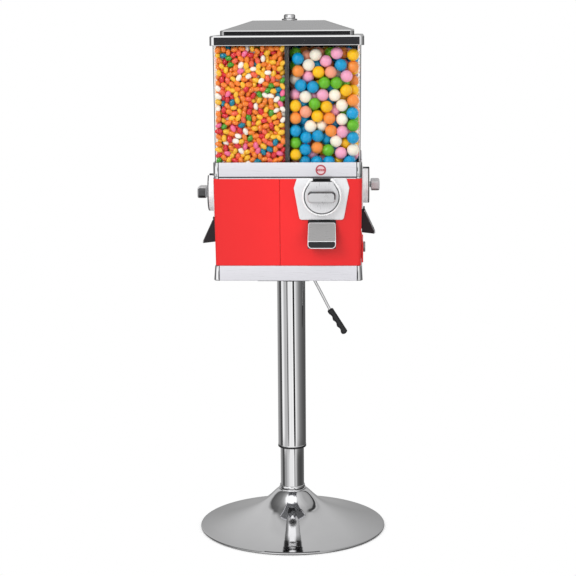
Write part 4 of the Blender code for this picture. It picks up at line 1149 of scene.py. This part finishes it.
def bean_mesh():
    """Blunt-ended, slightly bent ellipsoid, long in X."""
    verts, faces = ball_mesh(around=11, down=8)
    verts = verts[:, [2, 0, 1]]
    verts = np.sign(verts) * np.abs(verts) ** np.array([0.90, 1.0, 1.0])
    verts = verts * np.array([1.0, 0.735, 0.70])
    verts[:, 2] += 0.06 * (verts[:, 0] ** 2 - 0.4)
    return verts, faces


def heap(name, centres, frames, unit, unit_faces, material):
    """One mesh holding a copy of the unit form at each centre, set by each 3 x 3 frame."""
    size = len(unit)
    coords = np.einsum("nij,mj->nmi", frames, unit) + centres[:, None, :]
    mesh = bpy.data.meshes.new(name)
    faces = [tuple(v + i * size for v in face)
             for i in range(len(centres)) for face in unit_faces]
    mesh.from_pydata(coords.reshape(-1, 3).tolist(), [], faces)
    mesh.polygons.foreach_set("use_smooth", [True] * len(mesh.polygons))
    mesh.update()
    obj = bpy.data.objects.new(name, mesh)
    SCENE.collection.objects.link(obj)
    mesh.materials.append(material)
    return obj


def random_frames(count, rng, wall_normals=None):
    """Random orientations; with wall normals the long axis leans to lie along the wall."""
    q = rng.normal(size=(count, 3))
    if wall_normals is not None:
        amount = np.einsum("ij,ij->i", q, wall_normals)
        q = q - wall_normals * (amount * 0.92)[:, None]
    a = q / np.linalg.norm(q, axis=1, keepdims=True)
    b = np.cross(a, rng.normal(size=(count, 3)))
    b /= np.linalg.norm(b, axis=1, keepdims=True)
    return np.stack([a, b, np.cross(a, b)], axis=2)


def pick(colours, count, rng):
    """A colour name for each sweet, by share."""
    names = list(colours)
    weights = np.array([share for _, share in colours.values()])
    return np.array(names)[rng.choice(len(names), count, p=weights / weights.sum())]


def sweet_materials(prefix, colours, darker, **look):
    made = {}
    for name, (colour, _) in colours.items():
        base = shade(srgb(*colour), 0.93)
        made[name] = sweet(prefix + name, base, dark=shade(base, darker), **look)
    return made


# colour name: (sRGB, share)
GUM_COLOURS = {
    "blue": ((0, 156, 208), 0.27), "yellow": ((254, 194, 8), 0.17),
    "orange": ((250, 148, 62), 0.13), "pink": ((250, 172, 200), 0.13),
    "peach": ((251, 164, 132), 0.10), "cream": ((252, 242, 222), 0.11),
    "green": ((100, 182, 30), 0.09)}
BEAN_COLOURS = {
    "orange": ((244, 132, 44), 0.33), "yellow": ((250, 190, 50), 0.23),
    "red": ((218, 50, 56), 0.12), "pink": ((244, 112, 152), 0.05),
    "white": ((254, 244, 230), 0.08), "green": ((76, 156, 44), 0.04),
    "teal": ((8, 130, 156), 0.04), "coral": ((242, 102, 70), 0.11)}


def sweets():
    """Gumballs fill the front-right quarter; beans line the outer walls of the front-left.

    Both are repeated half a turn round in the back quarters.
    """
    half = HOPPER_HALF
    gums = pack(352, GUM_RADIUS, (GUM_GAP, -half, HOPPER_LOW),
                (half, -GUM_GAP, HOPPER_HIGH - 0.004), steps=170, seed=7)
    inner = -half + BEAN_LAYER
    beans = pack(1620, BEAN_SPACING, (-half, -half, HOPPER_LOW),
                 (-BEAN_GAP, -BEAN_GAP, HOPPER_HIGH), steps=110, seed=11,
                 block=((inner, inner, 0.0), (0.1, 0.1, 2.0)))
    rng = np.random.default_rng(5)
    gum_picks = pick(GUM_COLOURS, len(gums), rng)
    bean_picks = pick(BEAN_COLOURS, len(beans), rng)
    by_left = (beans[:, 0] + half) < (beans[:, 1] + half)
    normals = np.where(by_left[:, None], np.array([1.0, 0, 0]), np.array([0, 1.0, 0]))
    bean_frames = (random_frames(len(beans), rng, normals)
                   * rng.uniform(0.93, 1.07, (len(beans), 1, 1)) * BEAN_HALF)
    gum_frames = random_frames(len(gums), rng) * GUM_RADIUS
    gum_looks = sweet_materials("gum_", GUM_COLOURS, darker=0.86, rough=0.30, grain=230.0,
                                bump=0.16)
    bean_looks = sweet_materials("bean_", BEAN_COLOURS, darker=0.84, rough=0.22,
                                 grain=420.0, bump=0.10)
    kinds = [("gumballs", gums, gum_frames, gum_picks, gum_looks,
              ball_mesh(around=20, down=12)),
             ("beans", beans, bean_frames, bean_picks, bean_looks, bean_mesh())]
    for quarter, turn in (("front", np.eye(3)), ("back", np.diag([-1.0, -1.0, 1.0]))):
        for kind, centres, frames, picks, looks, (unit, faces) in kinds:
            for colour, material in looks.items():
                mask = picks == colour
                obj = heap("%s_%s_%s" % (kind, colour, quarter), centres[mask] @ turn.T,
                           np.einsum("ij,njk->nik", turn, frames[mask]), unit, faces,
                           material)
                attach(obj, "head", "badge_enamel")


sweets()


# ---------------------------------------------------------------- studio
def camera():
    data = bpy.data.cameras.new("cam")
    data.sensor_width = 36.0
    data.lens = 96.1326625
    data.clip_end = 50
    obj = bpy.data.objects.new("cam", data)
    heading, pitch, roll = [math.radians(a) for a in (2.49336, 90 - 9.89587, -0.38591)]
    obj.matrix_world = (Matrix.Translation((0.1345995, -3.2509322, 1.0966237))
                        @ Matrix.Rotation(heading, 4, "Z") @ Matrix.Rotation(pitch, 4, "X")
                        @ Matrix.Rotation(roll, 4, "Z"))
    SCENE.collection.objects.link(obj)
    SCENE.camera = obj


def floor():
    """Pale floor with a faint glow that grows away from the foot."""
    s = Surface("floor_pale")
    cloud = s.remap(s.noise(scale=3.0, detail=2.0))
    s.set(Base_Color=s.mix(cloud, (0.93, 0.93, 0.93), (0.90, 0.90, 0.90)),
          Roughness=0.6, Specular_IOR_Level=0.1)
    glow = s.add("ShaderNodeEmission", {"Color": (1, 1, 1), "Strength": 1.0})
    distance = s.length(s.add("ShaderNodeNewGeometry").outputs["Position"])
    s.blend_shader(s.remap(distance, low=0.12, high=1.0, start=0.199, end=0.212), glow)
    corners = [Vector((x, y, -0.0004)) for x, y in ((-6, -6), (6, -6), (6, 9), (-6, 9))]
    obj = build("floor", corners, [(0, 1, 2, 3)], s.material)
    obj.visible_glossy = False


def area_light(name, location, aim, width, height, power):
    data = bpy.data.lights.new(name, "AREA")
    data.shape = "RECTANGLE"
    data.size, data.size_y, data.energy = width, height, power
    obj = bpy.data.objects.new(name, data)
    obj.location = location
    direction = Vector(aim) - Vector(location)
    obj.rotation_euler = direction.to_track_quat("-Z", "Y").to_euler()
    obj.visible_glossy = False
    SCENE.collection.objects.link(obj)


SCENE.view_settings.view_transform = "Standard"
SCENE.view_settings.look = "None"
camera()
floor()
area_light("key", (-1.7, -2.6, 2.4), aim=(0, 0, 0.8), width=1.8, height=1.8, power=58)
area_light("fill", (2.4, -2.2, 1.4), aim=(0, 0, 0.8), width=1.6, height=2.0, power=13)
area_light("top", (0, 0.4, 3.2), aim=(0, 0, 0.5), width=2.4, height=2.4, power=34)

# Brightness of the reflected studio as (azimuth, grey); azimuth in degrees is 0 towards
# the front and grows to the right. Below and about the horizon:
AROUND = [
    (-180, 0.38), (-140, 0.34), (-116, 0.25), (-109, 0.07), (-87, 0.06), (-84, 1.0),
    (-69, 0.90), (-61, 0.60), (-50, 0.46), (-41, 0.56), (-36, 0.50), (-34, 0.05),
    (-29, 0.06), (-27, 0.56), (-17, 1.0), (-6, 0.87), (4, 0.92), (13.5, 1.08), (15.0, 0.02),
    (28.0, 0.02), (30, 1.0), (35, 0.88), (43, 0.60), (52, 0.47), (61, 0.31), (71, 0.21),
    (84, 0.15), (104, 0.10), (136, 0.075), (158, 0.12), (172, 0.37), (180, 0.38)]
LOWER = [
    (-180, 0.38), (-140, 0.34), (-116, 0.25), (-109, 0.07), (-87, 0.07), (-79, 0.33),
    (-61, 0.34), (-49, 0.56), (-38, 0.60), (-31, 0.80), (-22, 0.85), (-6, 0.87), (4, 0.84),
    (13.5, 1.04), (16, 0.46), (24, 0.30), (28, 0.40), (30, 0.72), (35, 0.60), (43, 0.33),
    (52, 0.14), (61, 0.09), (71, 0.076), (84, 0.06), (104, 0.07), (136, 0.12), (158, 0.14),
    (172, 0.37), (180, 0.38)]
UPPER = [
    (-180, 0.38), (-150, 0.36), (-134, 0.10), (-90, 0.14), (-76, 0.26), (-66, 1.0),
    (-14, 1.0), (-6, 0.87), (4, 0.92), (14, 0.90), (24, 0.80), (44, 0.62), (56, 0.42),
    (70, 0.29), (100, 0.13), (140, 0.10), (156, 0.30), (180, 0.38)]
# Middle heights, and the same after several bounces:
MIDDLE = [
    (-180, 0.60), (-137, 0.54), (-129, 0.09), (-116, 0.13), (-90, 0.22), (-60, 0.32),
    (-40, 0.40), (-33, 1.1), (16, 1.1), (28, 0.80), (40, 0.55), (58, 0.43), (84, 0.38),
    (118, 0.38), (131, 0.30), (132.5, 0.04), (138, 0.04), (139.5, 0.55), (143, 0.38),
    (148, 0.48), (156, 0.52), (180, 0.60)]
ECHO = [
    (-180, 0.50), (-150, 0.30), (-120, 0.04), (-66, 0.02), (-54, 0.05), (-46, 0.40),
    (-33, 1.1), (16, 1.1), (28, 0.80), (40, 0.42), (50, 0.05), (60, 0.02), (120, 0.04),
    (150, 0.30), (180, 0.50)]
# High up: seen directly, after a second bounce, and nearest the zenith:
CROWN = [
    (-180, 0.50), (-166, 0.45), (-156, 0.30), (-140, 0.26), (-100, 0.30), (-60, 0.38),
    (-44, 0.52), (-32, 1.1), (20, 1.1), (32, 0.66), (60, 0.50), (100, 0.42), (104, 0.05),
    (109, 0.05), (112, 0.50), (150, 0.50), (180, 0.50)]
HIGH = [
    (-180, 0.56), (-146, 0.50), (-134, 0.10), (-118, 0.13), (-92, 0.24), (-72, 0.42),
    (-58, 1.1), (42, 1.1), (54, 0.62), (80, 0.50), (112, 0.42), (128, 0.34), (132, 0.06),
    (139, 0.06), (145, 0.50), (180, 0.56)]
MIRRORED = [
    (-180, 0.42), (-150, 0.18), (-120, 0.17), (-90, 0.28), (-74, 0.42), (-60, 1.1),
    (42, 1.1), (54, 0.66), (80, 0.56), (110, 0.46), (150, 0.36), (180, 0.42)]


class Studio(Graph):
    """World graph. An angle here is (its 0..1 socket, the degrees at either end)."""

    def __init__(self, tree):
        super().__init__(tree)
        x, y, z = self.axes("Generated")
        turn = self.math("ARCTAN2", x, self.math("MULTIPLY", y, -1.0))
        around = self.math("ADD", self.math("DIVIDE", turn, 2 * math.pi), 0.5)
        rise = self.math("ARCSINE", z)
        height = self.math("ADD", self.math("DIVIDE", rise, math.pi), 0.5)
        # the panels lean sideways below the horizon
        degrees = self.math("MULTIPLY", rise, 180.0 / math.pi)
        held = self.math("MINIMUM", self.math("MAXIMUM", degrees, -24.0), 0.0)
        shift = self.math("MULTIPLY", self.math("ADD", held, 12.4), 1.05)
        lean = self.math("ADD", around, self.math("DIVIDE", shift, 360.0))
        self.azimuth, self.leaning, self.elevation = (around, 180), (lean, 180), (height, 90)

    def ramp(self, angle, stops):
        socket, limit = angle
        node = self.add("ShaderNodeValToRGB", {0: socket})
        band = node.color_ramp
        band.interpolation = "LINEAR"
        while len(band.elements) < len(stops):
            band.elements.new(0.5)
        for element, (degrees, grey) in zip(band.elements, stops):
            element.position = (degrees + limit) / (2.0 * limit)
            element.color = (grey, grey, grey, 1)
        return node.outputs[0]

    def step(self, start, end, before=0.0, after=1.0):
        """Mask that changes between two elevations."""
        return self.ramp(self.elevation,
                         [(-90, before), (start, before), (end, after), (90, after)])

    def window(self, angle, edges, outside=0.0, inside=1.0):
        """Mask with soft edges: opens from edges 0 to 1, closes from 2 to 3."""
        values = (outside, inside, inside, outside)
        return self.ramp(angle, [(-angle[1], outside), *zip(edges, values),
                                 (angle[1], outside)])

    def reflections(self):
        depth = self.add("ShaderNodeLightPath").outputs["Ray Depth"]
        second = self.math("GREATER_THAN", depth, 1.5)
        third = self.math("GREATER_THAN", depth, 2.5)
        below = self.mix(self.step(-15.9, -15.5, before=1.0, after=0.0),
                         self.ramp(self.leaning, AROUND), self.ramp(self.leaning, LOWER))
        below = self.mix(self.step(-8.4, -6.6), below, self.ramp(self.azimuth, UPPER))
        middle = self.mix(third, self.ramp(self.azimuth, MIDDLE),
                          self.ramp(self.azimuth, ECHO))
        top = self.mix(self.step(60, 65), self.ramp(self.azimuth, HIGH),
                       self.ramp(self.azimuth, MIRRORED))
        top = self.mix(second, self.ramp(self.azimuth, CROWN), top)
        # the change to the middle panels is slower at the back
        at_back = self.window(self.azimuth, (-164, -150, 150, 164), outside=1.0, inside=0.0)
        to_middle = self.add("ShaderNodeMix", {
            0: at_back, 2: self.step(4.5, 9), 3: self.step(5.0, 38)}, data_type="FLOAT")
        panels = self.mix(self.step(53, 57),
                          self.mix(to_middle.outputs[0], below, middle), top)
        # a dark strip at the front horizon and a darker patch low at the front
        strip = self.math("MULTIPLY", self.window(self.azimuth, (-17, -12, 9, 13)),
                          self.window(self.elevation, (-3.4, -2.6, 4.0, 6.0)))
        patch = self.math("MULTIPLY", self.window(self.azimuth, (-36, -32, 32, 36)),
                          self.step(-32, -27, before=1.0, after=0.0))
        return self.mix(patch, self.mix(strip, panels, (0.040, 0.040, 0.043)),
                        (0.02, 0.02, 0.02))


def studio_world():
    """White to the camera, even grey for diffuse surfaces, panels for reflections."""
    world = bpy.data.worlds.new("studio")
    SCENE.world = world
    world.use_nodes = True
    world.node_tree.nodes.clear()
    studio = Studio(world.node_tree)
    reflected = studio.reflections()
    ray = studio.add("ShaderNodeLightPath").outputs
    colour = studio.mix(ray["Is Glossy Ray"], (0.74, 0.74, 0.745), reflected)
    seen = studio.math("MAXIMUM", ray["Is Camera Ray"], ray["Is Transmission Ray"])
    colour = studio.mix(seen, colour, (1, 1, 1))
    background = studio.add("ShaderNodeBackground", {"Color": colour, "Strength": 1.0})
    studio.add("ShaderNodeOutputWorld", {"Surface": background.outputs[0]})


studio_world()
